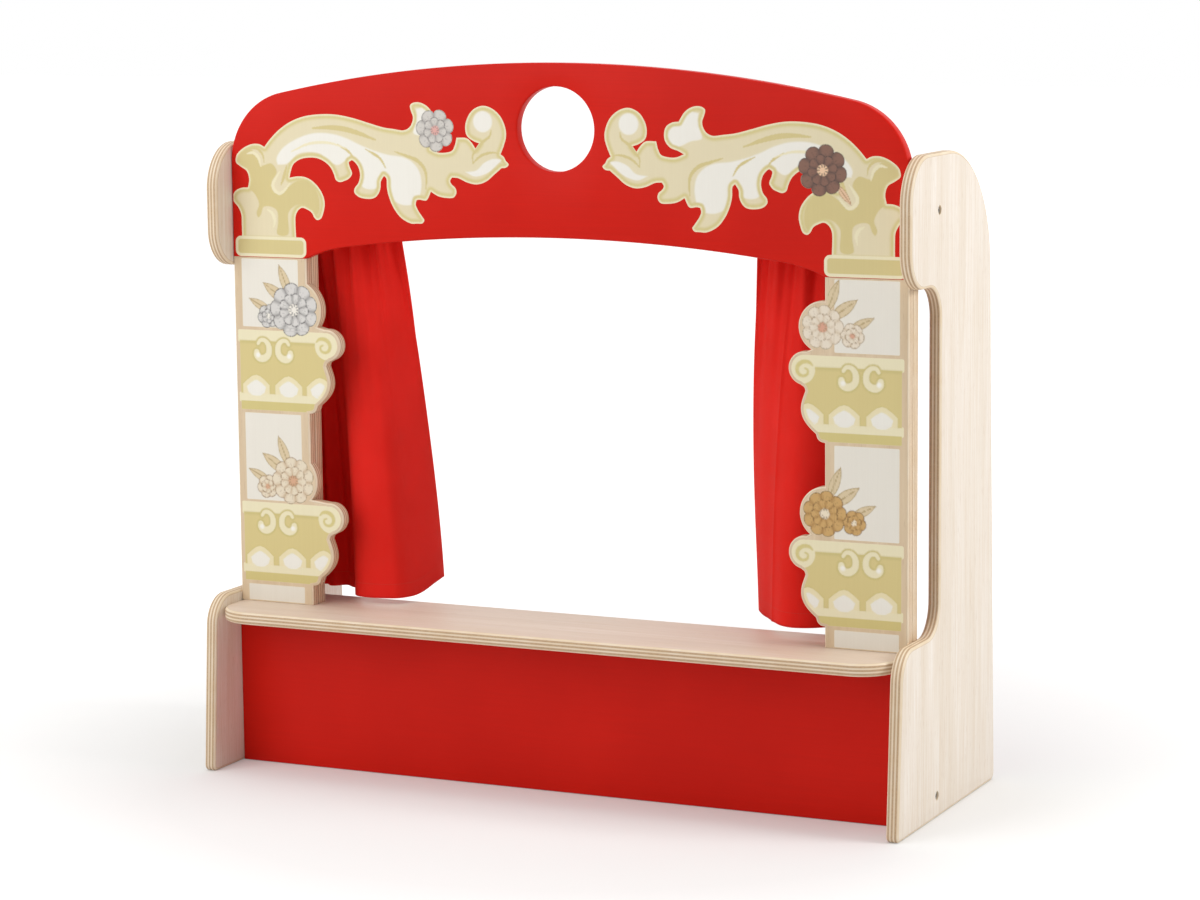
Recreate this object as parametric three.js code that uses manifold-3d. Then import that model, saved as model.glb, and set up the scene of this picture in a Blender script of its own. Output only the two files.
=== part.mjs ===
// A tabletop puppet theatre of birch plywood: two side panels shaped like a
// C, a stage shelf over a red front panel, two columns with balconies, a red
// arch with a round window, and two red curtains that slide on a wooden rod.
// Millimetres, +Z up, the front faces -Y, the origin is on the floor under
// the middle of the whole box.
import * as THREE from 'three';
import { mergeVertices } from 'three/addons/utils/BufferGeometryUtils.js';
import Module from 'manifold-3d';

const wasm = await Module();
wasm.setup();

// Driving dimensions: the theatre as a whole
const ply = 12; // every board is cut from the same plywood
const insideWidth = 706; // between the two side panels
const sideDepth = 272; // side panel along the floor
const shelfTop = 163; // the stage floor
const columnHeight = 344; // from the stage floor to the arch
const archRise = 192; // from the columns' tops to the arch's crown
const columnWidth = 82; // the straight part of a column
const columnSetback = 60; // from the toe of the side panels to the columns

// Fits between pieces
const buttGap = 0.2; // play between two boards that meet
const pinFit = 0.15; // radial play of a dowel or a screw in its hole
const endPlay = 0.3; // room past the end of a dowel or a screw
const edgeRound = 1.8; // rounding that a router leaves on a board's edges
const softEdge = 0.8; // sanded edge of a board that others hide
const cutOverrun = 3; // how far a cutter runs past a face
const roundSteps = 1; // facets on a rounded edge
const arcSag = 0.12; // how far a facet may stray from the arc it stands for
const bendSteps = 7; // facets on a free curve of an outline

// Side panel: a base, a slim rear upright and a head that reaches forward
const baseRise = 11; // above the stage floor
const baseLean = 12; // the base's front edge leans back this far
const baseNoseRadius = 30;
const toeRadius = 6;
const heelRadius = 8;
const notchDepth = 111; // from the toe to the upright's front edge
const notchRadius = 30;
const headDrop = 9; // the head's underside, below the columns' tops
const headRise = 112; // the head's top, above the columns' tops
const headSetback = 31;
const headChinRadius = 36;
const headBrowRadius = 45;
const rearLean = 25; // the rear edge leans forward this far at the head
const shoulderRadius = 118;

// Stage shelf and front panel
const shelfDepth = 120;
const shelfCornerRadius = 38;
const shelfRearRadius = 3;
const panelSetback = 57;
const panelFloorGap = 0.5;

// Arch
const archCrownRadius = 1464;
const archCornerRadius = 48;
const archSoffitRise = 27.5; // underside, from its feet to its middle
const archSoffitRadius = 1702;
const archHaunch = 39; // width of the curve between a foot and the soffit
const archHaunchBend = 19; // where that curve turns, from the foot
const archHaunchRise = 8.5; // how high it is where it turns
const windowRadius = 40;
const windowDrop = 62; // from the crown to the middle of the window

// Columns: a contour board in front of a plain post
const postLap = 85; // how far a post reaches up behind the arch
const balconyFeet = [21, 191]; // above the stage floor
const balcony = {
  coveWidth: 10, // the band under the bowl steps out this far
  coveHeight: 8,
  bowlReach: 29, // how far the bowl's curve is pulled out
  bowlLow: 12,
  bowlHigh: 30,
  neckReach: 19,
  neckHeight: 48,
  voluteReach: 22, // middle of the scroll
  voluteHeight: 70,
  voluteRadius: 15,
  ledgeHeight: 87,
};
const voluteStart = THREE.MathUtils.degToRad(-85);
const voluteEnd = THREE.MathUtils.degToRad(100);
// One bloom looks over each balcony; reach is from the column's outer edge
const blooms = {
  left: [
    { reach: 62, height: 104, radius: 27 },
    { reach: 67, height: 102, radius: 30 },
  ],
  right: [
    { reach: 82, height: 106, radius: 25 },
    { reach: 84, height: 107, radius: 24 },
  ],
};

// Rods and the four long screws that pull the side panels onto them
const rodRadius = 7.5;
const rodSetback = 106;
const curtainRodLift = 60; // above the columns' tops
const stretcherHeight = 21;
const rodSides = 20;
const rodScrew = { shank: 2.2, head: 4.2, headHeight: 3, length: 42, socket: 1.7, socketDepth: 1.6 };
const counterboreDepth = 4.4;
const screwSides = 12;

// Loose beech dowels
const dowelRadius = 3;
const dowelInSide = 8;
const dowelInBoard = 16;
const dowelChamfer = 0.6;
const dowelSides = 10;
const shelfDowelSetbacks = [30, 98];
const panelDowelHeights = [50, 118];
const archDowelLifts = [36, 92]; // above the arch's feet
const footDowelReaches = [18, 64]; // from the column's outer edge

// Wood screws through the posts, driven from behind
const crossSlotShare = 0.62; // half the length of a wood screw's slot, of its head's radius
const woodScrew = { shank: 1.75, head: 3.6, headHeight: 2.2, length: 19, tip: 3, slot: 0.8, slotDepth: 1.2 };
const archScrewLift = 22; // above the arch's feet
const boardScrewLift = 60; // above the stage floor
const screwReaches = [26, 60]; // from the column's outer edge

// Curtains: two cloths, each with a sleeve that runs on the rod
const cloth = 2.4; // thickness of the solid that stands for the cloth
const sleeveFit = 1.2; // radial play of the sleeve on the rod
const sleeveSeat = 0.3; // play over the rod, where the sleeve hangs on it
const sleeveWall = 2.6;
const sleeveRipple = 1; // the sleeve's gathers swell this far
const sleeveSides = 12;
const hemGap = 4.5; // from the stage floor to the hem
const curtainMargin = 8; // from the side panel to the curtain's outer edge
const gatherCount = 7; // small pleats under the rod
const gatherDepth = 4.5;
const foldCount = 1.5; // large folds across one curtain
const foldTopShare = 0.3; // depth that a fold has just under the rod
const leadReturn = 30; // the leading edge turns back this far at the hem
const leadTurnShare = 0.72; // where that turn starts, of the width
const clothColumns = 42;
const clothRows = 9;
// foldBack is how far the folds hang behind the rod, and ridgeShare the place
// of the first ridge, of the width
const curtains = {
  left: { side: -1, widthTop: 152, widthHem: 158, foldDepth: 28, foldBack: 15, ridgeShare: 0.07 },
  right: { side: 1, widthTop: 157, widthHem: 190, foldDepth: 22, foldBack: 29, ridgeShare: 0 },
};

// Derived places
const insideHalf = insideWidth / 2;
const boardHalf = insideHalf - buttGap;
const archFeet = shelfTop + columnHeight;
const archCrown = archFeet + archRise;
const windowHeight = archCrown - windowDrop;
const frontY = -sideDepth / 2;
const columnY = frontY + columnSetback;
const postY = columnY + ply;
const postBackY = postY + ply;
const panelY = frontY + panelSetback;
const rodY = frontY + rodSetback;
const shelfBottom = shelfTop - ply;
const baseTop = shelfTop + baseRise;
const headBottom = archFeet - headDrop;
const headTop = archFeet + headRise;
const curtainRodHeight = archFeet + curtainRodLift;
const outerFace = insideHalf + ply;

// Finishes
function finish(color, roughness, metalness = 0) {
  return new THREE.MeshStandardMaterial({ color, roughness, metalness });
}
const birch = () => finish(0xe6d6c0, 0.6);
const redPaint = () => finish(0xd0342a, 0.45);
const beech = () => finish(0xd9b98c, 0.55);
const printedBirch = () => finish(0xe2d7a6, 0.5);
const redCloth = () => finish(0xc81e1a, 0.85);
const steel = () => finish(0x9a9a98, 0.35, 1);

// Closed solids for cutting and joining
function solidOf(geometry) {
  const bare = geometry.clone();
  bare.deleteAttribute('normal');
  bare.deleteAttribute('uv');
  const merged = mergeVertices(bare);
  const vertProperties = new Float32Array(merged.attributes.position.array);
  const triVerts = new Uint32Array(merged.index.array);
  return new wasm.Manifold(new wasm.Mesh({ numProp: 3, vertProperties, triVerts }));
}

function geometryOf(solid) {
  const { vertProperties, triVerts } = solid.getMesh();
  const geometry = new THREE.BufferGeometry();
  geometry.setAttribute('position', new THREE.BufferAttribute(vertProperties, 3));
  geometry.setIndex(new THREE.BufferAttribute(triVerts, 1));
  geometry.computeVertexNormals();
  return geometry;
}

function meshOf(name, geometry, material) {
  const mesh = new THREE.Mesh(geometry, material);
  mesh.name = name;
  return mesh;
}

// A box from its lowest to its highest corner
function boxBetween(low, high) {
  const size = high.map((value, axis) => value - low[axis]);
  const geometry = new THREE.BoxGeometry(...size);
  return geometry.translate(...low.map((value, axis) => value + size[axis] / 2));
}

// Points along an arc, fine enough for its radius
function arc(x, y, radius, from, to) {
  const facet = 2 * Math.acos(1 - arcSag / radius);
  const steps = Math.max(2, Math.ceil(Math.abs(to - from) / facet));
  return Array.from({ length: steps + 1 }, (_, step) => {
    const angle = THREE.MathUtils.lerp(from, to, step / steps);
    return new THREE.Vector2(x + radius * Math.cos(angle), y + radius * Math.sin(angle));
  });
}

// Points along a free curve between its two ends
function bend(...controls) {
  const [first, ...others] = controls.map(([x, y]) => new THREE.Vector2(x, y));
  const curve = others.length > 2
    ? new THREE.CubicBezierCurve(first, ...others)
    : new THREE.QuadraticBezierCurve(first, ...others);
  return curve.getPoints(bendSteps);
}

const corner = (x, y) => new THREE.Vector2(x, y);

// A board cut from an outline, its edges rounded, its back on z = 0
function cutBoard(outline, rounding = edgeRound, thickness = ply) {
  return new THREE.ExtrudeGeometry(outline, {
    depth: thickness - 2 * rounding,
    bevelEnabled: true,
    bevelThickness: rounding,
    bevelSize: rounding,
    bevelOffset: -rounding,
    bevelSegments: roundSteps,
  }).translate(0, 0, rounding);
}

// A plain rectangular board
function rectangle(left, bottom, right, top) {
  return new THREE.Shape([
    corner(left, bottom), corner(right, bottom), corner(right, top), corner(left, top),
  ]);
}

// Stands a board up: the outline's x stays, its y becomes height, and the
// face at z = thickness looks to the front
function standUp(geometry, backY) {
  return geometry.rotateX(Math.PI / 2).translate(0, backY, 0);
}

// An outline whose corners are rounded, each with its own radius
function roundedOutline(corners) {
  const points = corners.flatMap(([x, y, radius], index) => {
    const [xBefore, yBefore] = corners.at(index - 1);
    const [xAfter, yAfter] = corners[(index + 1) % corners.length];
    const toBefore = corner(xBefore - x, yBefore - y).normalize();
    const toAfter = corner(xAfter - x, yAfter - y).normalize();
    const halfAngle = Math.acos(toBefore.dot(toAfter)) / 2;
    const inward = toBefore.clone().add(toAfter).normalize();
    const centre = inward.multiplyScalar(radius / Math.sin(halfAngle)).add(corner(x, y));
    const hollow = toBefore.cross(toAfter) > 0;
    const turn = (Math.PI - 2 * halfAngle) * (hollow ? -1 : 1);
    const start = toBefore.multiplyScalar(radius / Math.tan(halfAngle)).add(corner(x, y));
    const from = Math.atan2(start.y - centre.y, start.x - centre.x);
    return arc(centre.x, centre.y, radius, from, from + turn);
  });
  return new THREE.Shape(points);
}

// Fasteners: each is described once, and the same entry makes the piece and
// the hole in every board that it enters. along is the way it is driven.
const across = (side) => new THREE.Vector3(-side, 0, 0);
const upward = new THREE.Vector3(0, 0, 1);
const forward = new THREE.Vector3(0, -1, 0);
const sides = { left: -1, right: 1 };

function sideDowels(word, side, joint, places) {
  return places.map(([y, z], index) => ({
    name: `${joint}_dowel_${word}_${index + 1}`,
    at: new THREE.Vector3(side * (insideHalf + dowelInSide), y, z),
    along: across(side),
  }));
}

function footDowels(word, side) {
  return footDowelReaches.map((reach, index) => ({
    name: `column_dowel_${word}_${index + 1}`,
    at: new THREE.Vector3(side * (boardHalf - reach), postY + ply / 2, shelfTop - dowelInSide),
    along: upward,
  }));
}

function rodScrewAt(name, side, height) {
  const at = new THREE.Vector3(side * (outerFace - counterboreDepth), rodY, height);
  return { name, at, along: across(side) };
}

function postScrews(word, side, joint, height) {
  return screwReaches.map((reach, index) => ({
    name: `${joint}_screw_${word}_${index + 1}`,
    at: new THREE.Vector3(side * (boardHalf - reach), postBackY, height),
    along: forward,
  }));
}

const shelfMiddle = shelfTop - ply / 2;
const shelfDowelPlaces = shelfDowelSetbacks.map((setback) => [frontY + setback, shelfMiddle]);
const panelDowelPlaces = panelDowelHeights.map((height) => [panelY + ply / 2, height]);
const archDowelPlaces = archDowelLifts.map((lift) => [columnY + ply / 2, archFeet + lift]);
const fasteners = Object.entries(sides).map(([word, side]) => ({
  shelf: sideDowels(word, side, 'shelf', shelfDowelPlaces),
  panel: sideDowels(word, side, 'front_panel', panelDowelPlaces),
  arch: sideDowels(word, side, 'arch', archDowelPlaces),
  foot: footDowels(word, side),
  curtainRod: rodScrewAt(`curtain_rod_screw_${word}`, side, curtainRodHeight),
  stretcher: rodScrewAt(`stretcher_rod_screw_${word}`, side, stretcherHeight),
  archScrews: postScrews(word, side, 'arch', archFeet + archScrewLift),
  boardScrews: postScrews(word, side, 'column', shelfTop + boardScrewLift),
}));
const [leftFasteners, rightFasteners] = fasteners;
const bothSides = (key) => fasteners.flatMap((set) => set[key]);

// Turns a shape made along +Z so that it starts at a place and runs along
function drive(geometry, { at, along }) {
  const turn = new THREE.Quaternion().setFromUnitVectors(upward, along);
  return geometry.applyQuaternion(turn).translate(at.x, at.y, at.z);
}

// A solid of revolution about +Z from radius and height pairs
function turned(profile, steps) {
  const points = profile.map(([radius, height]) => new THREE.Vector2(radius, height));
  return new THREE.LatheGeometry(points, steps).rotateX(Math.PI / 2);
}

function drillHoles(board, fastenerList, profile, steps) {
  return fastenerList.reduce(
    (solid, fastener) => solid.subtract(solidOf(drive(turned(profile, steps), fastener))),
    board,
  );
}

// Dowel and its hole
const dowelLength = dowelInSide + dowelInBoard;
const dowelHole = [
  [0, -endPlay],
  [dowelRadius + pinFit, -endPlay],
  [dowelRadius + pinFit, dowelLength + endPlay],
  [0, dowelLength + endPlay],
];
const dowelProfile = [
  [0, 0],
  [dowelRadius - dowelChamfer, 0],
  [dowelRadius, dowelChamfer],
  [dowelRadius, dowelLength - dowelChamfer],
  [dowelRadius - dowelChamfer, dowelLength],
  [0, dowelLength],
];
const drillDowels = (board, list) => drillHoles(board, list, dowelHole, dowelSides);

// Long screw: a flat round head in a counterbore, and a shank in the rod
const rodScrewHole = [
  [0, -counterboreDepth - cutOverrun],
  [rodScrew.head + pinFit, -counterboreDepth - cutOverrun],
  [rodScrew.head + pinFit, 0],
  [rodScrew.shank + pinFit, 0],
  [rodScrew.shank + pinFit, rodScrew.length + endPlay],
  [0, rodScrew.length + endPlay],
];
const rodScrewProfile = [
  [0, -rodScrew.headHeight],
  [rodScrew.head, -rodScrew.headHeight],
  [rodScrew.head, 0],
  [rodScrew.shank, 0],
  [rodScrew.shank, rodScrew.length - rodScrew.shank],
  [0, rodScrew.length],
];
const drillRodScrews = (board, list) => drillHoles(board, list, rodScrewHole, screwSides);

// Wood screw: countersunk, with a cross slot
const woodScrewHole = [
  [0, -cutOverrun],
  [woodScrew.head + pinFit, -cutOverrun],
  [woodScrew.head + pinFit, 0],
  [woodScrew.shank + pinFit, woodScrew.headHeight],
  [woodScrew.shank + pinFit, woodScrew.length + endPlay],
  [0, woodScrew.length + endPlay],
];
const woodScrewProfile = [
  [0, 0],
  [woodScrew.head, 0],
  [woodScrew.shank, woodScrew.headHeight],
  [woodScrew.shank, woodScrew.length - woodScrew.tip],
  [0, woodScrew.length],
];
const drillWoodScrews = (board, list) => drillHoles(board, list, woodScrewHole, screwSides);

function makeDowel(fastener) {
  return meshOf(fastener.name, drive(turned(dowelProfile, dowelSides), fastener), beech());
}

function makeRodScrew(fastener) {
  const { socket, socketDepth, headHeight } = rodScrew;
  const hexagonSides = 6;
  const depth = socketDepth + cutOverrun;
  const hexagon = new THREE.CylinderGeometry(socket, socket, depth, hexagonSides).rotateX(Math.PI / 2);
  hexagon.translate(0, 0, socketDepth - headHeight - depth / 2);
  const screw = solidOf(turned(rodScrewProfile, screwSides)).subtract(solidOf(hexagon));
  return meshOf(fastener.name, drive(geometryOf(screw), fastener), steel());
}

function makeWoodScrew(fastener) {
  const { head, slot, slotDepth } = woodScrew;
  const long = head * crossSlotShare;
  const bars = [
    boxBetween([-long, -slot / 2, -cutOverrun], [long, slot / 2, slotDepth]),
    boxBetween([-slot / 2, -long, -cutOverrun], [slot / 2, long, slotDepth]),
  ];
  const plain = solidOf(turned(woodScrewProfile, screwSides));
  const screw = bars.reduce((solid, bar) => solid.subtract(solidOf(bar)), plain);
  return meshOf(fastener.name, drive(geometryOf(screw), fastener), steel());
}

// Side panels
function sidePanelOutline() {
  const y = (setback) => frontY + setback;
  return roundedOutline([
    [y(0), 0, toeRadius],
    [y(sideDepth), 0, heelRadius],
    [y(sideDepth - rearLean), headTop, shoulderRadius],
    [y(headSetback), headTop, headBrowRadius],
    [y(headSetback), headBottom, headChinRadius],
    [y(notchDepth), headBottom, notchRadius],
    [y(notchDepth), baseTop, notchRadius],
    [y(baseLean), baseTop, baseNoseRadius],
  ]);
}

function makeSidePanel(name, side, set) {
  const innerX = side > 0 ? insideHalf : -outerFace;
  const blank = cutBoard(sidePanelOutline());
  blank.rotateX(Math.PI / 2).rotateZ(Math.PI / 2).translate(innerX, 0, 0);
  const dowelled = drillDowels(solidOf(blank), [...set.shelf, ...set.panel, ...set.arch]);
  const drilled = drillRodScrews(dowelled, [set.curtainRod, set.stretcher]);
  return meshOf(name, geometryOf(drilled), birch());
}

// Stage shelf: its rounded front corners stand proud of the side panels
function makeShelf() {
  const outline = roundedOutline([
    [-boardHalf, frontY, shelfCornerRadius],
    [boardHalf, frontY, shelfCornerRadius],
    [boardHalf, frontY + shelfDepth, shelfRearRadius],
    [-boardHalf, frontY + shelfDepth, shelfRearRadius],
  ]);
  const blank = cutBoard(outline).translate(0, 0, shelfBottom);
  const drilled = drillDowels(solidOf(blank), [...bothSides('shelf'), ...bothSides('foot')]);
  return meshOf('stage_shelf', geometryOf(drilled), birch());
}

// Front panel
function makeFrontPanel() {
  const outline = rectangle(-boardHalf, panelFloorGap, boardHalf, shelfBottom - buttGap);
  const blank = standUp(cutBoard(outline, softEdge), panelY + ply);
  const drilled = drillDowels(solidOf(blank), bothSides('panel'));
  return meshOf('front_panel', geometryOf(drilled), redPaint());
}

// Arch: a flat foot over each column, a haunch, a long flat curve, and a
// crown whose ends turn down into the side panels
function archOutline(feet) {
  const footInner = boardHalf - columnWidth;
  const haunchInner = footInner - archHaunch;
  const soffitMiddle = archFeet + archSoffitRise - archSoffitRadius;
  const soffitHalf = Math.asin(haunchInner / archSoffitRadius);
  const haunchTop = soffitMiddle + archSoffitRadius * Math.cos(soffitHalf);
  const crownMiddle = archCrown - archCrownRadius;
  const cornerX = boardHalf - archCornerRadius;
  const cornerHalf = Math.asin(cornerX / (archCrownRadius - archCornerRadius));
  const cornerZ = crownMiddle + (archCrownRadius - archCornerRadius) * Math.cos(cornerHalf);
  const up = Math.PI / 2;
  const bendX = footInner - archHaunchBend;
  const bendZ = archFeet + archHaunchRise;
  return new THREE.Shape([
    corner(footInner, feet),
    corner(boardHalf, feet),
    ...arc(cornerX, cornerZ, archCornerRadius, 0, up - cornerHalf),
    ...arc(0, crownMiddle, archCrownRadius, up - cornerHalf, up + cornerHalf).slice(1, -1),
    ...arc(-cornerX, cornerZ, archCornerRadius, up + cornerHalf, Math.PI),
    corner(-boardHalf, feet),
    corner(-footInner, feet),
    ...bend([-footInner, archFeet], [-bendX, bendZ], [-haunchInner, haunchTop]),
    ...arc(0, soffitMiddle, archSoffitRadius, up + soffitHalf, up - soffitHalf).slice(1, -1),
    ...bend([haunchInner, haunchTop], [bendX, bendZ], [footInner, archFeet]),
  ]);
}

function makeArch() {
  const outline = archOutline(archFeet - cutOverrun);
  const round = arc(0, windowHeight, windowRadius, 0, -2 * Math.PI).slice(1);
  outline.holes.push(new THREE.Path(round));
  const blank = solidOf(standUp(cutBoard(outline), postY));
  const waste = boxBetween(
    [-outerFace, columnY - cutOverrun, archFeet - 2 * cutOverrun],
    [outerFace, postY + cutOverrun, archFeet],
  );
  const trimmed = blank.subtract(solidOf(waste));
  const dowelled = drillDowels(trimmed, bothSides('arch'));
  const drilled = drillWoodScrews(dowelled, bothSides('archScrews'));
  return meshOf('arch_panel', geometryOf(drilled), redPaint());
}

// Column board. The outline is drawn once for a column on the left: x is the
// reach from the outer edge and y the height above the stage floor.
function balconyPoints(foot, bloom) {
  const { coveWidth, coveHeight, neckReach, neckHeight, ledgeHeight } = balcony;
  const reach = (value) => columnWidth + value;
  const lift = (value) => foot + value;
  const coveMiddle = reach(coveWidth / 2);
  const coveEnd = [reach(coveWidth), lift(coveHeight)];
  const cove = bend([columnWidth, foot], [coveMiddle, foot], [coveMiddle, lift(coveHeight)], coveEnd);
  const bowl = bend(
    coveEnd,
    [reach(balcony.bowlReach), lift(balcony.bowlLow)],
    [reach(balcony.bowlReach), lift(balcony.bowlHigh)],
    [reach(neckReach), lift(neckHeight)],
  );
  const scrollX = reach(balcony.voluteReach);
  const scrollY = lift(balcony.voluteHeight);
  const scroll = arc(scrollX, scrollY, balcony.voluteRadius, voluteStart, voluteEnd);
  const from = Math.asin((ledgeHeight - bloom.height) / bloom.radius);
  const to = Math.acos((columnWidth - bloom.reach) / bloom.radius);
  const bloomEdge = arc(bloom.reach, lift(bloom.height), bloom.radius, from, to);
  return [...cove, ...bowl.slice(1), ...scroll, ...bloomEdge];
}

function columnOutline(side, columnBlooms) {
  const points = [
    corner(0, -cutOverrun),
    corner(columnWidth, -cutOverrun),
    ...balconyFeet.flatMap((foot, index) => balconyPoints(foot, columnBlooms[index])),
    corner(columnWidth, columnHeight + cutOverrun),
    corner(0, columnHeight + cutOverrun),
  ];
  return new THREE.Shape(points.map(({ x, y }) => corner(side * (boardHalf - x), shelfTop + y)));
}

function makeColumnBoard(name, side, columnBlooms, set) {
  const blank = solidOf(standUp(cutBoard(columnOutline(side, columnBlooms)), postY));
  const kept = boxBetween(
    [-outerFace, columnY - cutOverrun, shelfTop + buttGap],
    [outerFace, postY - buttGap, archFeet - buttGap],
  );
  const drilled = drillWoodScrews(blank.intersect(solidOf(kept)), set.boardScrews);
  return meshOf(name, geometryOf(drilled), printedBirch());
}

// Post behind a column board; it reaches up behind the arch
function makePost(name, side, set) {
  const ends = [side * boardHalf, side * (boardHalf - columnWidth)].sort((a, b) => a - b);
  const foot = shelfTop + buttGap;
  const outline = rectangle(ends[0], foot, ends[1], archFeet + postLap);
  const thickness = ply - buttGap;
  const blank = solidOf(standUp(cutBoard(outline, softEdge, thickness), postBackY));
  const dowelled = drillDowels(blank, set.foot);
  const drilled = drillWoodScrews(dowelled, [...set.archScrews, ...set.boardScrews]);
  return meshOf(name, geometryOf(drilled), birch());
}

// Rods
function makeRod(name, height, screws) {
  const rod = new THREE.CylinderGeometry(rodRadius, rodRadius, 2 * boardHalf, rodSides);
  rod.rotateZ(Math.PI / 2).translate(0, rodY, height);
  return meshOf(name, geometryOf(drillRodScrews(solidOf(rod), screws)), beech());
}

// Joins rings of points into a closed skin. Each ring is a closed loop; the
// first and the last ring are capped by a strip from their front to their back.
function skinOf(rings) {
  const count = rings[0].length;
  const half = count / 2;
  const positions = rings.flat().flatMap((point) => [point.x, point.y, point.z]);
  const index = [];
  const quad = (a, b, c, d) => index.push(a, b, c, a, c, d);
  for (let row = 0; row + 1 < rings.length; row += 1) {
    for (let place = 0; place < count; place += 1) {
      const next = (place + 1) % count;
      const here = row * count;
      const below = here + count;
      quad(here + place, here + next, below + next, below + place);
    }
  }
  const last = (rings.length - 1) * count;
  for (let place = 0; place + 1 < half; place += 1) {
    const mate = count - 1 - place;
    quad(place, mate, mate - 1, place + 1);
    quad(last + place, last + place + 1, last + mate - 1, last + mate);
  }
  const geometry = new THREE.BufferGeometry();
  geometry.setAttribute('position', new THREE.Float32BufferAttribute(positions, 3));
  geometry.setIndex(index);
  return geometry;
}

// Curtain. across01 runs from the outer edge to the leading edge, and down01
// from the rod to the hem.
const boreRadius = rodRadius + sleeveFit;
const sleeveRadius = boreRadius + sleeveWall;
const sleeveHeight = curtainRodHeight - sleeveFit + sleeveSeat;
const hemHeight = shelfTop + hemGap;

function curtainPoint(curtain, across01, down01) {
  const eased = Math.sin(down01 * Math.PI / 2);
  const width = THREE.MathUtils.lerp(curtain.widthTop, curtain.widthHem, eased);
  const fall = THREE.MathUtils.smoothstep(down01, 0, foldTopShare);
  const growth = fall * THREE.MathUtils.lerp(foldTopShare, 1, down01);
  const fold = -Math.cos(2 * Math.PI * foldCount * (across01 - curtain.ridgeShare));
  const gather = Math.cos(2 * Math.PI * gatherCount * across01) * (1 - down01) * fall;
  const turn = THREE.MathUtils.smoothstep(across01, leadTurnShare, 1) * down01 ** 2;
  return new THREE.Vector3(
    curtain.side * (insideHalf - curtainMargin - width * across01),
    rodY + curtain.foldDepth * fold * growth + curtain.foldBack * down01
      + gatherDepth * gather + leadReturn * turn,
    THREE.MathUtils.lerp(sleeveHeight - boreRadius, hemHeight, down01),
  );
}

// One row of the hanging cloth, as a loop: the front side and back again
function clothRing(curtain, down01) {
  const front = [];
  const back = [];
  const step = 1 / clothColumns;
  for (let column = 0; column <= clothColumns; column += 1) {
    const here = column * step;
    const point = curtainPoint(curtain, here, down01);
    const before = curtainPoint(curtain, here - step / 2, down01);
    const after = curtainPoint(curtain, here + step / 2, down01);
    const normal = new THREE.Vector3(after.y - before.y, before.x - after.x, 0).normalize();
    normal.multiplyScalar(cloth / 2 * curtain.side);
    front.push(point.clone().sub(normal));
    back.unshift(point.clone().add(normal));
  }
  return [...front, ...back];
}

function makeCurtain(name, curtain) {
  const rings = [];
  for (let row = 0; row <= clothRows; row += 1) {
    rings.push(clothRing(curtain, row / clothRows));
  }
  const ordered = curtain.side > 0 ? rings : rings.map((ring) => ring.slice().reverse());
  const hanging = solidOf(skinOf(ordered));
  const sleeve = solidOf(curtainSleeve(curtain));
  const bore = new THREE.CylinderGeometry(boreRadius, boreRadius, insideWidth, rodSides);
  bore.rotateZ(Math.PI / 2).translate(0, rodY, sleeveHeight);
  const whole = hanging.add(sleeve).subtract(solidOf(bore));
  return meshOf(name, geometryOf(whole), redCloth());
}

// Sleeve round the rod; its gathers swell and shrink along the rod
function curtainSleeve({ side, widthTop }) {
  const rings = [];
  const steps = gatherCount * 2;
  for (let step = 0; step <= steps; step += 1) {
    const across01 = step / steps;
    const swell = sleeveRadius + sleeveRipple * Math.cos(2 * Math.PI * gatherCount * across01);
    const x = side * (insideHalf - curtainMargin - widthTop * across01);
    rings.push(sleeveRing(x, swell));
  }
  return skinOf(side > 0 ? rings.map((ring) => ring.slice().reverse()) : rings);
}

function sleeveRing(x, radius) {
  const ring = [];
  for (let corner = 0; corner < sleeveSides; corner += 1) {
    const angle = (corner + 1 / 2) * 2 * Math.PI / sleeveSides;
    const y = rodY + radius * Math.cos(angle);
    ring.push(new THREE.Vector3(x, y, sleeveHeight + radius * Math.sin(angle)));
  }
  return ring;
}

// The whole theatre
const theatre = new THREE.Group();
theatre.add(
  makeSidePanel('side_panel_left', sides.left, leftFasteners),
  makeSidePanel('side_panel_right', sides.right, rightFasteners),
  makeShelf(),
  makeFrontPanel(),
  makeArch(),
  makeColumnBoard('column_board_left', sides.left, blooms.left, leftFasteners),
  makeColumnBoard('column_board_right', sides.right, blooms.right, rightFasteners),
  makePost('column_post_left', sides.left, leftFasteners),
  makePost('column_post_right', sides.right, rightFasteners),
  makeRod('curtain_rod', curtainRodHeight, bothSides('curtainRod')),
  makeRod('stretcher_rod', stretcherHeight, bothSides('stretcher')),
  makeCurtain('curtain_left', curtains.left),
  makeCurtain('curtain_right', curtains.right),
);
for (const key of ['shelf', 'panel', 'arch', 'foot']) {
  bothSides(key).forEach((fastener) => theatre.add(makeDowel(fastener)));
}
for (const key of ['curtainRod', 'stretcher']) {
  bothSides(key).forEach((fastener) => theatre.add(makeRodScrew(fastener)));
}
for (const key of ['archScrews', 'boardScrews']) {
  bothSides(key).forEach((fastener) => theatre.add(makeWoodScrew(fastener)));
}

export default theatre;
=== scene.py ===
# %% [markdown]
# # A tabletop puppet theatre
#
# This lesson dresses a finished construction model. The model already holds
# every board, rod, screw and curtain at its real size, and it stays the
# frame that everything else is measured from. Here each board is built again
# with soft edges and visible layers, the prints are laid out on it, and the
# cloth is hung. One unit of the scene is one metre.

# %% Load the frame
import math

import bmesh
import bpy
import numpy as np
from mathutils import Matrix, Vector
from mathutils.geometry import delaunay_2d_cdt


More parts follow.
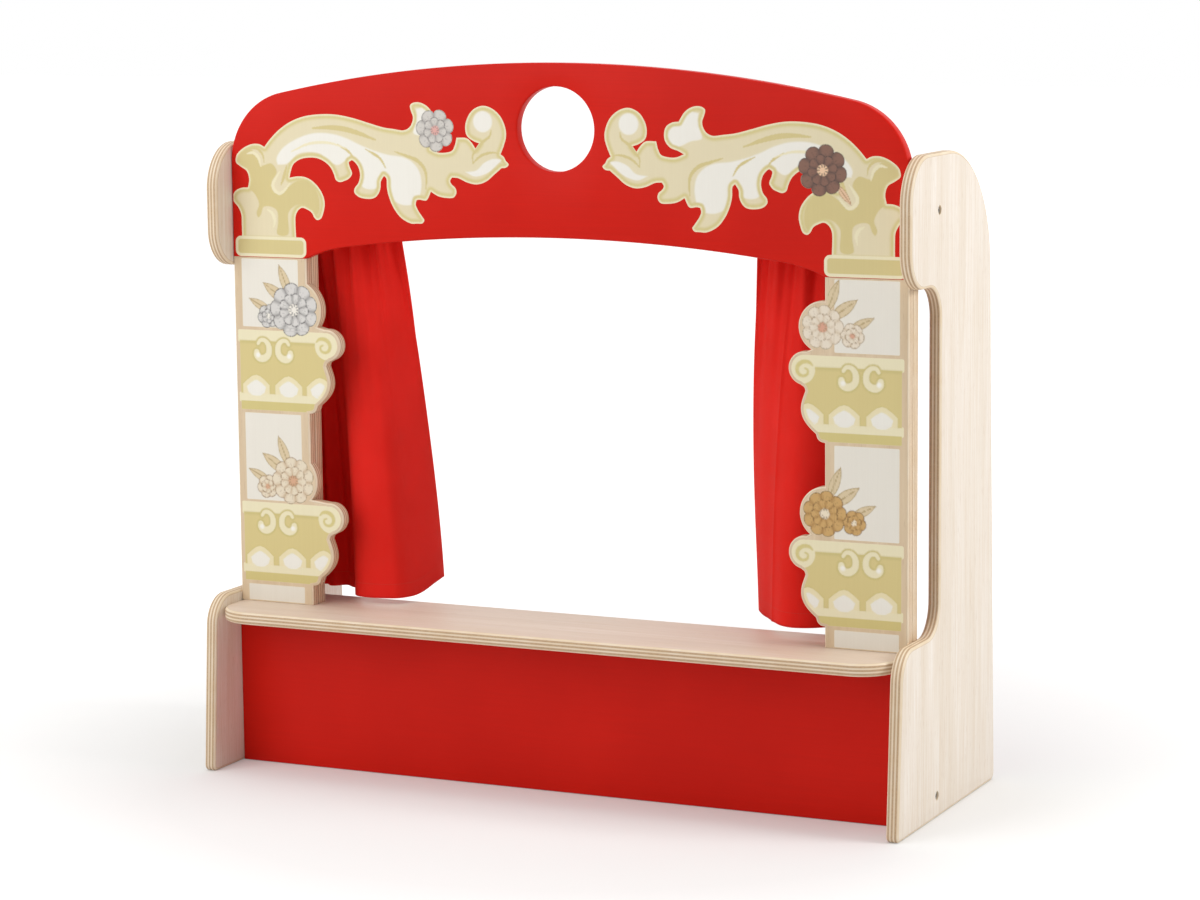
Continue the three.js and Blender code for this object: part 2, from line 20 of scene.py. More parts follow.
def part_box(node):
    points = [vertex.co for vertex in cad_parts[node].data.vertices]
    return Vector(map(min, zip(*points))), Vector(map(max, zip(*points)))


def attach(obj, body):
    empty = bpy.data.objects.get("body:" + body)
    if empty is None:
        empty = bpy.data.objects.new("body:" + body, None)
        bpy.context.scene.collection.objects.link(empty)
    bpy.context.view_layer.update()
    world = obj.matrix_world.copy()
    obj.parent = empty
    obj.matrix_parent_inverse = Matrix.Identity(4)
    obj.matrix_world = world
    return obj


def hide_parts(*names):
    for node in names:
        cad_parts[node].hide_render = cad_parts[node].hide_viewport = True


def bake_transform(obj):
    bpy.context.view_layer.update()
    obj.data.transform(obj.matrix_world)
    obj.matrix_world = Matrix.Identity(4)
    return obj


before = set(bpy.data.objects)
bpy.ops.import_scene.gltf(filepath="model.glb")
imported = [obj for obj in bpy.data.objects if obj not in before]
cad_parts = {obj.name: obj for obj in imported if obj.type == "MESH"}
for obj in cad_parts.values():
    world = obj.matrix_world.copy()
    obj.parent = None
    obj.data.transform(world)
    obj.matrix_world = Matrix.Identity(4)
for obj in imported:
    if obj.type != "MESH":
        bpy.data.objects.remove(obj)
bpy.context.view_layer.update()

# %% [markdown]
# ## Sizes of the theatre
#
# A joiner writes the sizes in millimetres, so this script does too, and turns
# them into metres in one place. Places are read from the frame wherever the
# frame knows them. A size that it can't give, such as the radius of a corner,
# is named here once.

# %% Sizes and places
MM = 0.001


def span(node, axis):
    """Lowest and highest place of a frame node along an axis, in mm."""
    low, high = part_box(node)
    return low[axis] / MM, high[axis] / MM


X, Y, Z = range(3)
OUTER = span("side_panel_right", X)[1]
INNER = span("side_panel_right", X)[0]
BOARD_HALF = span("stage_shelf", X)[1]
FRONT = span("stage_shelf", Y)[0]
SHELF_TOP = span("stage_shelf", Z)[1]
FEET = span("arch_panel", Z)[0]
COLUMN_FRONT = span("arch_panel", Y)[0]
PLY = OUTER - INNER
ROD_Y = sum(span("curtain_rod", Y)) / 2
ROD_Z = sum(span("curtain_rod", Z)) / 2
ROD_RADIUS = (span("curtain_rod", Z)[1] - span("curtain_rod", Z)[0]) / 2
STRETCHER_Z = sum(span("stretcher_rod", Z)) / 2
print(f"opening {2 * INNER:.0f} mm wide, boards {PLY:.0f} mm, rod at height {ROD_Z:.0f} mm")

# %% [markdown]
# ## Where the camera stands
#
# The theatre is seen from a little to its right and from a little above, with
# a long lens, so its upright edges stay almost parallel. The place and the
# turn were fitted to straight edges of the real object, and the small roll
# belongs to them.

# %% Camera
CAMERA_PLACE = (1.4340, -3.0525, 0.8253)
CAMERA_AZIMUTH = math.radians(25.04)
CAMERA_DROP = math.radians(8.48)
CAMERA_ROLL = math.radians(-0.55)
LENS, SENSOR_WIDTH = 105.5, 36


def linked(name, data):
    """An object of the scene that shows a camera, a lamp or a mesh."""
    made = bpy.data.objects.new(name, data)
    bpy.context.scene.collection.objects.link(made)
    return made


camera_data = bpy.data.cameras.new("camera")
camera_data.lens = LENS
camera_data.sensor_width = SENSOR_WIDTH
camera = linked("camera", camera_data)
aim = Matrix.Rotation(CAMERA_AZIMUTH, 4, "Z") @ Matrix.Rotation(math.pi / 2 - CAMERA_DROP, 4, "X")
camera.matrix_world = Matrix.Translation(CAMERA_PLACE) @ aim @ Matrix.Rotation(CAMERA_ROLL, 4, "Z")
bpy.context.scene.camera = camera
print("camera looks along", [round(v, 3) for v in camera.matrix_world.to_3x3() @ Vector((0, 0, -1))])

# %% [markdown]
# ## Colours and nodes
#
# Colours are easiest to write as they look on a screen, and the shaders want
# them linear. A short helper adds a node, sets its values and wires it up, so
# that a material reads as a list of what it does. An effect that several
# materials share becomes a node group with named sockets.

# %% Helpers for nodes
def tint(code):
    """A screen colour such as "c8a878" as linear red, green, blue and alpha."""
    values = [int(code[place:place + 2], 16) / 255 for place in (0, 2, 4)]
    linear = [v / 12.92 if v <= 0.04045 else ((v + 0.055) / 1.055) ** 2.4 for v in values]
    return (*linear, 1.0)


def join_to(tree, socket, value):
    """Wires a node's output to a socket, or sets the socket's own value."""
    if isinstance(value, bpy.types.NodeSocket):
        tree.links.new(value, socket)
    else:
        socket.default_value = value


def put(tree, kind, inputs=None, **settings):
    """Adds a node. inputs maps a socket's name or number to a value or to a node's output."""
    made = tree.nodes.new(kind)
    for name, value in settings.items():
        setattr(made, name, value)
    for name, value in (inputs or {}).items():
        join_to(tree, made.inputs[name], value)
    return made


def calc(tree, operation, first, second=0.0, third=0.0):
    """A math node's result."""
    return put(tree, "ShaderNodeMath", {0: first, 1: second, 2: third}, operation=operation).outputs[0]


def vector(tree, operation, first, second):
    """A vector math node's result."""
    other = "Scale" if operation == "SCALE" else 1
    return put(tree, "ShaderNodeVectorMath", {0: first, other: second}, operation=operation).outputs[0]


def noise(tree, place, scale, detail, roughness=0.5):
    """Soft noise; its outputs are Fac and Color."""
    inputs = {"Vector": place, "Scale": scale, "Detail": detail, "Roughness": roughness}
    return put(tree, "ShaderNodeTexNoise", inputs).outputs


def ranged(tree, value, low, high, to_low=0.0, to_high=1.0):
    """A value stretched from one range to another and held inside it."""
    inputs = {"Value": value, "From Min": low, "From Max": high, "To Min": to_low, "To Max": to_high}
    return put(tree, "ShaderNodeMapRange", inputs).outputs[0]


print("birch in linear light:", [round(v, 3) for v in tint("eadcc6")[:3]])

# %% [markdown]
# Most finishes are colours in layers: two that change places softly, and thin
# ones on top that show only where a mask lets them.

# %% Helpers for colours
def blended(tree, share, first, second, kind="RGBA", blend="MIX"):
    """Two colours, or two numbers, mixed by a share."""
    made = put(tree, "ShaderNodeMix", data_type=kind, blend_type=blend)
    for socket, value in zip([s for s in made.inputs if s.enabled], (share, first, second)):
        join_to(tree, socket, value)
    return next(s for s in made.outputs if s.enabled)


def mottled(tree, cloud, first, second):
    """Two screen colours that change places softly with a noise."""
    return blended(tree, ranged(tree, cloud, 0.35, 0.65), tint(first), tint(second))


def laid_on(tree, colour, *layers):
    """Screen colours laid over a colour, each given as (mask, share, code)."""
    for mask, share, code in layers:
        colour = blended(tree, calc(tree, "MULTIPLY", mask, share), colour, tint(code))
    return colour

# %% [markdown]
# A group and a material are both a tree of nodes. A material ends in one
# shader, which is fed with colours, numbers and a relief.

# %% Helpers for groups and materials
def new_group(name, inputs, outputs):
    """A shader group. inputs maps a socket's name to its value, outputs names the numbers it gives."""
    tree = bpy.data.node_groups.new(name, "ShaderNodeTree")
    for socket, value in inputs.items():
        kind = "NodeSocketVector" if isinstance(value, tuple) else "NodeSocketFloat"
        tree.interface.new_socket(socket, in_out="INPUT", socket_type=kind).default_value = value
    for socket in outputs:
        tree.interface.new_socket(socket, in_out="OUTPUT", socket_type="NodeSocketFloat")
    return tree, tree.nodes.new("NodeGroupInput").outputs, tree.nodes.new("NodeGroupOutput").inputs


def use_group(tree, group, inputs):
    """A group placed in a material with its own values."""
    return put(tree, "ShaderNodeGroup", inputs, node_tree=group).outputs


def new_material(name):
    """A material, its tree and its Principled shader."""
    material = bpy.data.materials.new(name)
    material.use_nodes = True
    tree = material.node_tree
    shader = next(n for n in tree.nodes if n.type == "BSDF_PRINCIPLED")
    return material, tree, shader


def feed(tree, shader, **sockets):
    """Wires or sets the shader's own sockets; an underscore stands for a space."""
    for name, value in sockets.items():
        join_to(tree, shader.inputs[name.replace("_", " ")], value)


def relief(tree, shader, height, depth):
    """A bump of a depth in metres on the shader's normal."""
    bump = put(tree, "ShaderNodeBump", {"Strength": 1.0, "Distance": depth, "Height": height})
    feed(tree, shader, Normal=bump.outputs[0])

# %% [markdown]
# ## Grain of the wood
#
# Birch is pale and quiet: broad soft bands along the board, thin fibres, and
# short fine pores. All three are noise that is stretched along the grain. One
# group makes them, and every wooden surface uses it. The grain's direction is
# given by a turn of the coordinates, so that the group itself always runs
# along its own Y.

# %% Group: wood figure
def build_wood_figure():
    tree, given, result = new_group(
        "wood figure", {"Place": (0, 0, 0), "Waviness": 0.004}, ["Bands", "Fibres", "Pores"],
    )
    drift = noise(tree, given["Place"], 3.2, 1)["Color"]
    wander = vector(tree, "SCALE", vector(tree, "SUBTRACT", drift, (0.5, 0.5, 0.5)), given["Waviness"])
    moved = vector(tree, "ADD", given["Place"], wander)
    figures = {
        "Bands": (0.05, 62, 3, 0.32, 0.68),
        "Fibres": (0.016, 620, 2, 0.3, 0.7),
        "Pores": (0.045, 1500, 1, 0.66, 0.74),
    }
    for name, (along, scale, detail, low, high) in figures.items():
        stretched = noise(tree, vector(tree, "MULTIPLY", moved, (1, along, 1)), scale, detail, 0.6)
        tree.links.new(ranged(tree, stretched["Fac"], low, high), result[name])
    return tree


WOOD_FIGURE = build_wood_figure()
print("wood figure:", len(WOOD_FIGURE.nodes), "nodes")

# %% [markdown]
# ## Layers in the edge of plywood
#
# A birch board is glued from an odd number of veneers, here seven, and the
# grain of every other one runs across. Seen from the edge, the lengthwise
# ones are pale and the crosswise ones show brown end grain. Each board below
# carries a number from 0 at its front face to 1 at its back face, and this
# group turns that number into the layers.

# %% Group: plywood layers
VENEERS = 7


def build_ply_layers():
    tree, given, result = new_group(
        "plywood layers", {"Depth": 0.0, "Veneers": VENEERS}, ["End grain", "Glue"],
    )
    pairs = calc(tree, "MULTIPLY", given["Depth"], calc(tree, "DIVIDE", given["Veneers"], 2.0))
    place = calc(tree, "PINGPONG", calc(tree, "ADD", pairs, 0.25), 0.5)
    tree.links.new(ranged(tree, place, 0.23, 0.27, 1.0, 0.0), result["End grain"])
    away = calc(tree, "ABSOLUTE", calc(tree, "SUBTRACT", place, 0.25))
    tree.links.new(ranged(tree, away, 0.02, 0.05, 1.0, 0.0), result["Glue"])
    return tree


PLY_LAYERS = build_ply_layers()
print("plywood:", VENEERS, "veneers")

# %% [markdown]
# ## Skin of a finish
#
# Lacquer and paint are never mirror flat. They settle in soft waves, carry
# fine dust, and shine a little unevenly where hands have been. This group
# gives a height for the bump and a number for the roughness.

# %% Group: finish skin
def build_finish_skin():
    tree, given, result = new_group(
        "finish skin", {"Place": (0, 0, 0), "Roughness": 0.4, "Uneven": 0.06}, ["Height", "Shine", "Cloud"],
    )
    peel, dust, cloud = (noise(tree, given["Place"], scale, detail)["Fac"]
                         for scale, detail in ((260, 2), (1400, 1), (7, 3)))
    specks = ranged(tree, dust, 0.7, 0.8)
    tree.links.new(calc(tree, "MULTIPLY_ADD", specks, 0.5, peel), result["Height"])
    swing = calc(tree, "SUBTRACT", cloud, 0.5)
    tree.links.new(calc(tree, "MULTIPLY_ADD", swing, given["Uneven"], given["Roughness"]), result["Shine"])
    tree.links.new(cloud, result["Cloud"])
    return tree


FINISH_SKIN = build_finish_skin()
print("groups:", [group.name for group in bpy.data.node_groups])

# %% [markdown]
# ## The wooden materials
#
# A board needs two: one for its faces and one for its cut edges. The faces
# take the wood figure, turned so that it runs along the board, under a thin
# skin of lacquer.

# %% Birch faces
GRAIN_TURNS = {X: (0, 0, math.pi / 2), Y: (0, 0, 0), Z: (math.pi / 2, 0, 0)}


def object_place(tree):
    return put(tree, "ShaderNodeTexCoord").outputs["Object"]


def wooden(name, axis, shift=(0, 0, 0), waviness=0.01, roughness=0.46, uneven=0.1):
    """Starts a wooden surface with its grain along an axis: material, tree, shader, figure and skin."""
    material, tree, shader = new_material(name)
    inputs = {"Vector": object_place(tree), "Location": shift, "Rotation": GRAIN_TURNS[axis]}
    place = put(tree, "ShaderNodeMapping", inputs).outputs[0]
    figure = use_group(tree, WOOD_FIGURE, {"Place": place, "Waviness": waviness})
    skin = use_group(tree, FINISH_SKIN, {"Place": place, "Roughness": roughness, "Uneven": uneven})
    feed(tree, shader, Roughness=skin["Shine"])
    return material, tree, shader, figure, skin


def birch_face(name, axis, shift=(0, 0, 0), pale="f4ece3", deep="eadfd1"):
    material, tree, shader, figure, skin = wooden(name, axis, shift, uneven=0.12)
    colour = blended(tree, figure["Bands"], tint(pale), tint(deep))
    colour = laid_on(tree, colour, (figure["Fibres"], 0.42, "d8c0a0"), (figure["Pores"], 0.4, "b59470"))
    feed(tree, shader, Base_Color=colour, Specular_IOR_Level=0.25)
    grooves = calc(tree, "MULTIPLY_ADD", figure["Pores"], -0.8, figure["Fibres"])
    relief(tree, shader, calc(tree, "MULTIPLY_ADD", grooves, 0.5, skin["Height"]), 0.00005)
    return material


BIRCH_UPRIGHT = birch_face("birch, grain upright", Z)
# The shelf's birch has its grain along the board. Its tints are darker and pinker than the side panels':
# painted shade and a painted red reflection on the stage.
BIRCH_LENGTHWISE_PAINTED_SHADE = birch_face("birch, grain lengthwise, painted shade and red reflection", X, (0.3, 0.1, 0.7), "e4d3c5", "dac6b6")
BIRCH_CONTOUR = birch_face("birch of the contour boards", Z, (0.5, 0.2, 0.1), "e6d2b4", "d6bd9b")
print("birch materials:", sum(m.name.startswith("birch") for m in bpy.data.materials))

# %% [markdown]
# The cut edges take the layers. The crosswise veneers get a fine speckle and
# lie a little lower, and the lengthwise ones get soft blotches.

# %% Cut edges
def ply_edge():
    material, tree, shader = new_material("cut edge of plywood")
    depth = put(tree, "ShaderNodeAttribute", attribute_name="ply_depth").outputs["Fac"]
    layers = use_group(tree, PLY_LAYERS, {"Depth": depth})
    speckle = noise(tree, object_place(tree), 900, 3)["Fac"]
    blotch = noise(tree, object_place(tree), 45, 2)["Fac"]
    crosswise = mottled(tree, speckle, "b08c68", "c4a27c")
    lengthwise = mottled(tree, blotch, "e8d3b4", "eddcc2")
    colour = blended(tree, calc(tree, "MULTIPLY", layers["End grain"], 0.85), lengthwise, crosswise)
    feed(tree, shader, Base_Color=laid_on(tree, colour, (layers["Glue"], 0.2, "8a6444")), Roughness=0.55)
    end_height = calc(tree, "MULTIPLY", layers["End grain"], speckle)
    relief(tree, shader, calc(tree, "MULTIPLY_ADD", layers["End grain"], -0.6, end_height), 0.00008)
    return material


PLY_EDGE = ply_edge()
print("cut edge:", len(PLY_EDGE.node_tree.nodes), "nodes")

# %% [markdown]
# ## Red paint and printing inks
#
# The arch and the panel below the stage are sprayed red, in a satin paint
# that lets a trace of the grain through. The ornament is printed on top with
# a few inks. Where the colour changes is a matter of drawing, so each print
# is drawn on its board further down and stored at the corners of its faces.
# This material only reads the stored colour and makes a dry ink of it.

# %% Paint and ink
def red_paint():
    material, tree, shader, figure, skin = wooden("red satin paint", X, roughness=0.36)
    colour = mottled(tree, skin["Cloud"], "d82014", "d01d12")
    colour = laid_on(tree, colour, (figure["Fibres"], 0.12, "b01f16"))
    feed(tree, shader, Base_Color=colour, Specular_IOR_Level=0.09)
    relief(tree, shader, calc(tree, "MULTIPLY_ADD", figure["Fibres"], 0.35, skin["Height"]), 0.00004)
    return material


def printing_ink():
    material, tree, shader, figure, skin = wooden("printing ink", Z, roughness=0.44, uneven=0.08)
    drawn = put(tree, "ShaderNodeAttribute", attribute_name="ink").outputs["Color"]
    thin = calc(tree, "MULTIPLY", figure["Fibres"], 0.03)
    feed(tree, shader, Base_Color=blended(tree, thin, drawn, tint("b79a70"), blend="MULTIPLY"))
    relief(tree, shader, calc(tree, "MULTIPLY_ADD", figure["Fibres"], 0.4, skin["Height"]), 0.000015)
    return material


RED_PAINT = red_paint()
INK = printing_ink()
print("made:", RED_PAINT.name, "and", INK.name)

# %% [markdown]
# ## Beech and steel
#
# The two rods and the dowels are turned from beech, which is a little redder
# than birch and full of short brown flecks. The screws are zinc plated, so
# their steel is bright but slightly cloudy.

# %% Beech and steel
def beech_rod():
    material, tree, shader, figure, skin = wooden("sanded beech", X, (0.2, 0.4, 0.6), 0.002, 0.55)
    colour = blended(tree, figure["Bands"], tint("dcb98c"), tint("c99f6f"))
    colour = laid_on(tree, colour, (figure["Fibres"], 0.25, "b98a5a"), (figure["Pores"], 0.7, "8d6038"))
    feed(tree, shader, Base_Color=colour)
    relief(tree, shader, calc(tree, "SUBTRACT", figure["Fibres"], figure["Pores"]), 0.00006)
    return material


def zinc_steel():
    material, tree, shader = new_material("zinc plated steel")
    place = object_place(tree)
    skin = use_group(tree, FINISH_SKIN, {"Place": place, "Roughness": 0.3, "Uneven": 0.25})
    spangle = put(tree, "ShaderNodeTexVoronoi", {"Vector": place, "Scale": 900.0}).outputs["Distance"]
    colour = blended(tree, ranged(tree, spangle, 0.0, 0.6), tint("c9c8c4"), tint("a9a8a5"))
    feed(tree, shader, Base_Color=colour, Roughness=skin["Shine"], Metallic=1.0)
    relief(tree, shader, skin["Height"], 0.00002)
    return material


BEECH = beech_rod()
STEEL = zinc_steel()
print("made:", BEECH.name, "and", STEEL.name)

# %% [markdown]
# ## Cloth
#
# The curtains are plain woven cotton with a soft shine. A weave is two sets
# of threads that pass over each other in turn: two waves, one for each
# direction, and a checkerboard that says which one lies on top. The waves
# follow a coordinate that is stored in the cloth, in real metres of cloth, so
# they bend with it. The same coordinate draws the stitches of the hems.

# %% Groups: weave and stitches
THREAD = 0.00055
STITCH = 0.0032
THREAD_HALF = 0.0004
STITCH_SHARE = 0.74


def build_weave():
    tree, given, result = new_group(
        "plain weave", {"Cloth": (0, 0, 0), "Thread": THREAD}, ["Height", "Gaps"],
    )
    counted = vector(tree, "SCALE", given["Cloth"], calc(tree, "DIVIDE", 1.0, given["Thread"]))
    parts = put(tree, "ShaderNodeSeparateXYZ", {0: counted}).outputs
    sines = [calc(tree, "SINE", calc(tree, "MULTIPLY", part, math.pi)) for part in parts[:2]]
    warp, weft = (calc(tree, "ABSOLUTE", sine) for sine in sines)
    upper = calc(tree, "GREATER_THAN", calc(tree, "MULTIPLY", *sines), 0.0)
    tree.links.new(blended(tree, upper, warp, weft, "FLOAT"), result["Height"])
    # Gaps are where neither thread lies high. The cloth darkens them there as painted shade between the
    # threads.
    tree.links.new(calc(tree, "LESS_THAN", calc(tree, "ADD", warp, weft), 0.5), result["Gaps"])
    return tree


def build_stitches():
    tree, given, result = new_group(
        "row of stitches", {"Across": 0.0, "Along": 0.0, "Line": 0.0, "Stitch": STITCH}, ["Thread"],
    )
    away = calc(tree, "ABSOLUTE", calc(tree, "SUBTRACT", given["Across"], given["Line"]))
    on_line = calc(tree, "LESS_THAN", away, THREAD_HALF)
    step = calc(tree, "FRACT", calc(tree, "DIVIDE", given["Along"], given["Stitch"]))
    in_stitch = calc(tree, "LESS_THAN", step, STITCH_SHARE)
    tree.links.new(calc(tree, "MULTIPLY", on_line, in_stitch), result["Thread"])
    return tree


WEAVE = build_weave()
STITCHES = build_stitches()
print("stitch length", round(STITCH / MM, 1), "mm, thread", round(THREAD / MM, 2), "mm")

# %% [markdown]
# The rows of stitches need the size of the curtain: where its pocket ends, how
# far it drops from there to the hem, and how wide its folded edges are.

# %% Red cotton
CLOTH_WIDTH = 0.340
POCKET_DROP = 17
HEM_GAP = 4.5
DROP = (ROD_Z - POCKET_DROP - SHELF_TOP - HEM_GAP) * MM
HEM_FOLD = 0.014
SIDE_FOLD = 0.009


def red_cotton(name):
    material, tree, shader = new_material(name)
    cloth = put(tree, "ShaderNodeAttribute", attribute_name="cloth_place").outputs["Vector"]
    across, down, _ = put(tree, "ShaderNodeSeparateXYZ", {0: cloth}).outputs
    weave = use_group(tree, WEAVE, {"Cloth": cloth})
    stretched = put(tree, "ShaderNodeMapping", {"Vector": cloth, "Scale": (900, 30, 1)}).outputs[0]
    slubs = noise(tree, stretched, 1, 2)["Fac"]
    cloud = noise(tree, cloth, 14, 2)["Fac"]
    sewn = 0.0
    for offset, along, line in ((down, across, DROP - HEM_FOLD), (down, across, 0.0),
                                (across, down, SIDE_FOLD), (across, down, CLOTH_WIDTH - SIDE_FOLD)):
        row = use_group(tree, STITCHES, {"Across": offset, "Along": along, "Line": line})
        sewn = calc(tree, "MAXIMUM", sewn, row["Thread"])
    slub_share = ranged(tree, slubs, 0.55, 0.75, 0.0, 0.3)
    # The gaps between the threads are darkened: painted shade between the threads.
    colour = laid_on(tree, mottled(tree, cloud, "f22b23", "ea281f"), (weave["Gaps"], 0.3, "9a1a14"),
                     (slub_share, 1.0, "df3a30"), (sewn, 0.6, "e0443a"))
    feed(tree, shader, Base_Color=colour, Roughness=0.7, Specular_IOR_Level=0.1, Subsurface_Weight=0.4,
         Subsurface_Radius=(1.0, 0.12, 0.08), Subsurface_Scale=0.002, Sheen_Weight=0.06,
         Sheen_Roughness=0.4, Sheen_Tint=tint("f06a50"))
    relief(tree, shader, calc(tree, "MULTIPLY_ADD", sewn, -2.0, weave["Height"]), 0.00009)
    return material


print(f"the curtain drops {DROP:.3f} m, hem {HEM_FOLD} m, sides {SIDE_FOLD} m")

# %% [markdown]
# ## Drawing with a few kinds of line
#
# Every board starts as an outline on paper. The lines that a joiner draws are
# straight edges with rounded corners, arcs, and free curves through a few
# marked points. Each helper below gives a row of points in millimetres.

# %% Lines
def arc(centre, radius, start, end, step=1.0):
    """Points along an arc, about one step apart; angles in radians."""
    count = max(3, math.ceil(abs(end - start) * radius / step))
    turns = np.linspace(start, end, count + 1)
    return np.column_stack([centre[0] + radius * np.cos(turns), centre[1] + radius * np.sin(turns)])


def circle(centre, radius, step=1.0):
    return arc(centre, radius, 0, 2 * math.pi, step)[:-1]


def bezier(*controls, count=14):
    """Points along a curve that is pulled by its inner control points."""
    share = np.linspace(0, 1, count + 1)[:, None]
    points = [np.array(c, float) for c in controls]
    while len(points) > 1:
        points = [a * (1 - share) + b * share for a, b in zip(points, points[1:])]
    return points[0]


def flowing(points, step=1.0):
    """A smooth curve through marked points, about one step between the results."""
    marks = np.array(points, float)
    if len(marks) == 2:
        marks = np.array([marks[0], marks.mean(0), marks[1]])
    padded = np.vstack([2 * marks[0] - marks[1], marks, 2 * marks[-1] - marks[-2]])
    gaps = np.sqrt(np.linalg.norm(np.diff(padded, axis=0), axis=1)) + 1e-9
    knots = np.concatenate([[0], np.cumsum(gaps)])
    result = []
    for i in range(1, len(padded) - 2):
        a, b, c, d = padded[i - 1:i + 3]
        ta, tb, tc, td = knots[i - 1:i + 3]
        count = max(1, math.ceil(np.linalg.norm(c - b) / step))
        t = np.linspace(tb, tc, count + 1)[:-1, None]
        ab = (tb - t) / (tb - ta) * a + (t - ta) / (tb - ta) * b
        bc = (tc - t) / (tc - tb) * b + (t - tb) / (tc - tb) * c
        cd = (td - t) / (td - tc) * c + (t - tc) / (td - tc) * d
        left = (tc - t) / (tc - ta) * ab + (t - ta) / (tc - ta) * bc
        right = (td - t) / (td - tb) * bc + (t - tb) / (td - tb) * cd
        result.append((tc - t) / (tc - tb) * left + (t - tb) / (tc - tb) * right)
    return np.vstack([*result, marks[-1:]])


print("a corner of 30 mm has", len(arc((0, 0), 30, 0, math.pi / 2, 1.2)), "points")

# %% [markdown]
# An outline is drawn from its corners, and each of them has a radius. The
# radius of a hollow corner lies outside the outline.

# %% Outlines
def rounded(corners, step=1.2):
    """A closed outline from corners given as (x, y, radius)."""
    result = []
    for i, (x, y, radius) in enumerate(corners):
        here = np.array([x, y], float)
        before = np.array(corners[i - 1][:2], float) - here
        after = np.array(corners[(i + 1) % len(corners)][:2], float) - here
        before /= np.linalg.norm(before)
        after /= np.linalg.norm(after)
        half = math.acos(float(before @ after)) / 2
        middle = (before + after) / np.linalg.norm(before + after)
        centre = here + middle * radius / math.sin(half)
        start = here + before * radius / math.tan(half) - centre
        hollow = before[0] * after[1] - before[1] * after[0] > 0
        turn = (math.pi - 2 * half) * (-1 if hollow else 1)
        angle = math.atan2(start[1], start[0])
        result.append(arc(centre, radius, angle, angle + turn, step))
    return np.vstack(result)


def rectangle(left, low, right, high, radius=0.0):
    """A rectangle, with rounded corners where it has a radius."""
    corners = [(left, low), (right, low), (right, high), (left, high)]
    return rounded([(x, y, radius) for x, y in corners]) if radius else np.array(corners, float)


def walked(line):
    """How far along a row of points each of them is."""
    return np.concatenate([[0], np.cumsum(np.linalg.norm(np.diff(line, axis=0), axis=1))])


square = rectangle(0, 0, 40, 40, 10)
print(f"a square of 40 mm with rounded corners measures {walked([*square, square[0]])[-1]:.0f} mm round")

# %% [markdown]
# A closed row of points is a loop. Sawing and printing ask four things of it:
# which side is its inside, where it runs once it is moved in a little, whether
# a point lies in it, and how far a point is from it.

# %% Loops
def turned_left(loop, left=True):
    """The loop in the order that keeps its inside on the left, or on the right."""
    x, y = loop[:, 0], loop[:, 1]
    area = float(x @ np.roll(y, -1) - y @ np.roll(x, -1)) / 2
    return loop if (area > 0) == left else loop[::-1]


def moved_in(loop, distance):
    """The loop moved to its own left side by a distance."""
    ahead = np.roll(loop, -1, axis=0) - loop
    ahead /= np.maximum(np.linalg.norm(ahead, axis=1), 1e-9)[:, None]
    left = np.column_stack([-ahead[:, 1], ahead[:, 0]])
    before = np.roll(left, 1, axis=0)
    miter = (left + before) / (1 + (left * before).sum(1))[:, None]
    return loop + miter * distance


def thinned(loop, least=0.05):
    """The loop without points that fall on top of each other."""
    keep = np.linalg.norm(loop - np.roll(loop, 1, axis=0), axis=1) > least
    return loop[keep]


def near(line, points, margin=0.0):
    """Which points lie in the box round a row of points, or within a margin of it."""
    low, high = line.min(0) - margin, line.max(0) + margin
    return ((points > low) & (points < high)).all(1)


def contains(loop, points):
    """Which points lie inside a closed loop."""
    result = near(loop, points)
    x, y = points[result].T
    inside = np.zeros(len(x), bool)
    for (ax, ay), (bx, by) in zip(loop, np.roll(loop, -1, axis=0)):
        if ay != by:
            crossing = (ay > y) != (by > y)
            inside ^= crossing & (x < ax + (y - ay) * (bx - ax) / (by - ay))
    result[result] = inside
    return result


REACH = 8.0
STRETCH = 24


def distance_to(line, points, closed=False):
    """How far each point is from a row of joined points, counted up to REACH."""
    joined = np.vstack([line, line[:1]]) if closed else line
    best = np.full(len(points), REACH)
    for start in range(0, len(joined) - 1, STRETCH):
        stretch = joined[start:start + STRETCH + 1]
        here = near(stretch, points, REACH)
        close, least = points[here], best[here]
        for a, b in zip(stretch, stretch[1:]):
            ahead = b - a
            share = np.clip((close - a) @ ahead / max(float(ahead @ ahead), 1e-12), 0, 1)
            least = np.minimum(least, np.linalg.norm(close - a - share[:, None] * ahead, axis=1))
        best[here] = least
    return best


def depth_in(loop, points):
    """How deep each point lies in a closed loop; outside it the depth is negative."""
    return distance_to(loop, points, closed=True) * np.where(contains(loop, points), 1, -1)


middle_depth = depth_in(circle((0, 0), 5), np.zeros((1, 2)))[0]
print(f"the middle of a circle of 5 mm lies {middle_depth:.1f} mm deep")

# %% [markdown]
# ## Boards
#
# Each board is cut from 12 mm plywood, its edges are rounded with a router
# and sanded. Its outline is drawn on paper, and a stand says where a point of
# the paper goes in the room, at a depth below the board's front face.

# %% Stands
FACE, EDGE, PRINT = range(3)


def facing_front(front):
    """A board that stands across the theatre; its front face looks at the children."""
    return lambda p, q, depth: (p, front + depth, q)


def facing_side(side):
    """A side panel; its face looks outward."""
    return lambda p, q, depth: (side * (OUTER - depth), p, q)


def facing_up(top):
    """A shelf; its face looks up."""
    return lambda p, q, depth: (p, q, top - depth)


print("material slots: face", FACE, "edge", EDGE, "print", PRINT)

# %% [markdown]
# A flat face is divided into triangles that keep its outline, its holes and
# the lines of its print as edges, so that the colours can follow them.

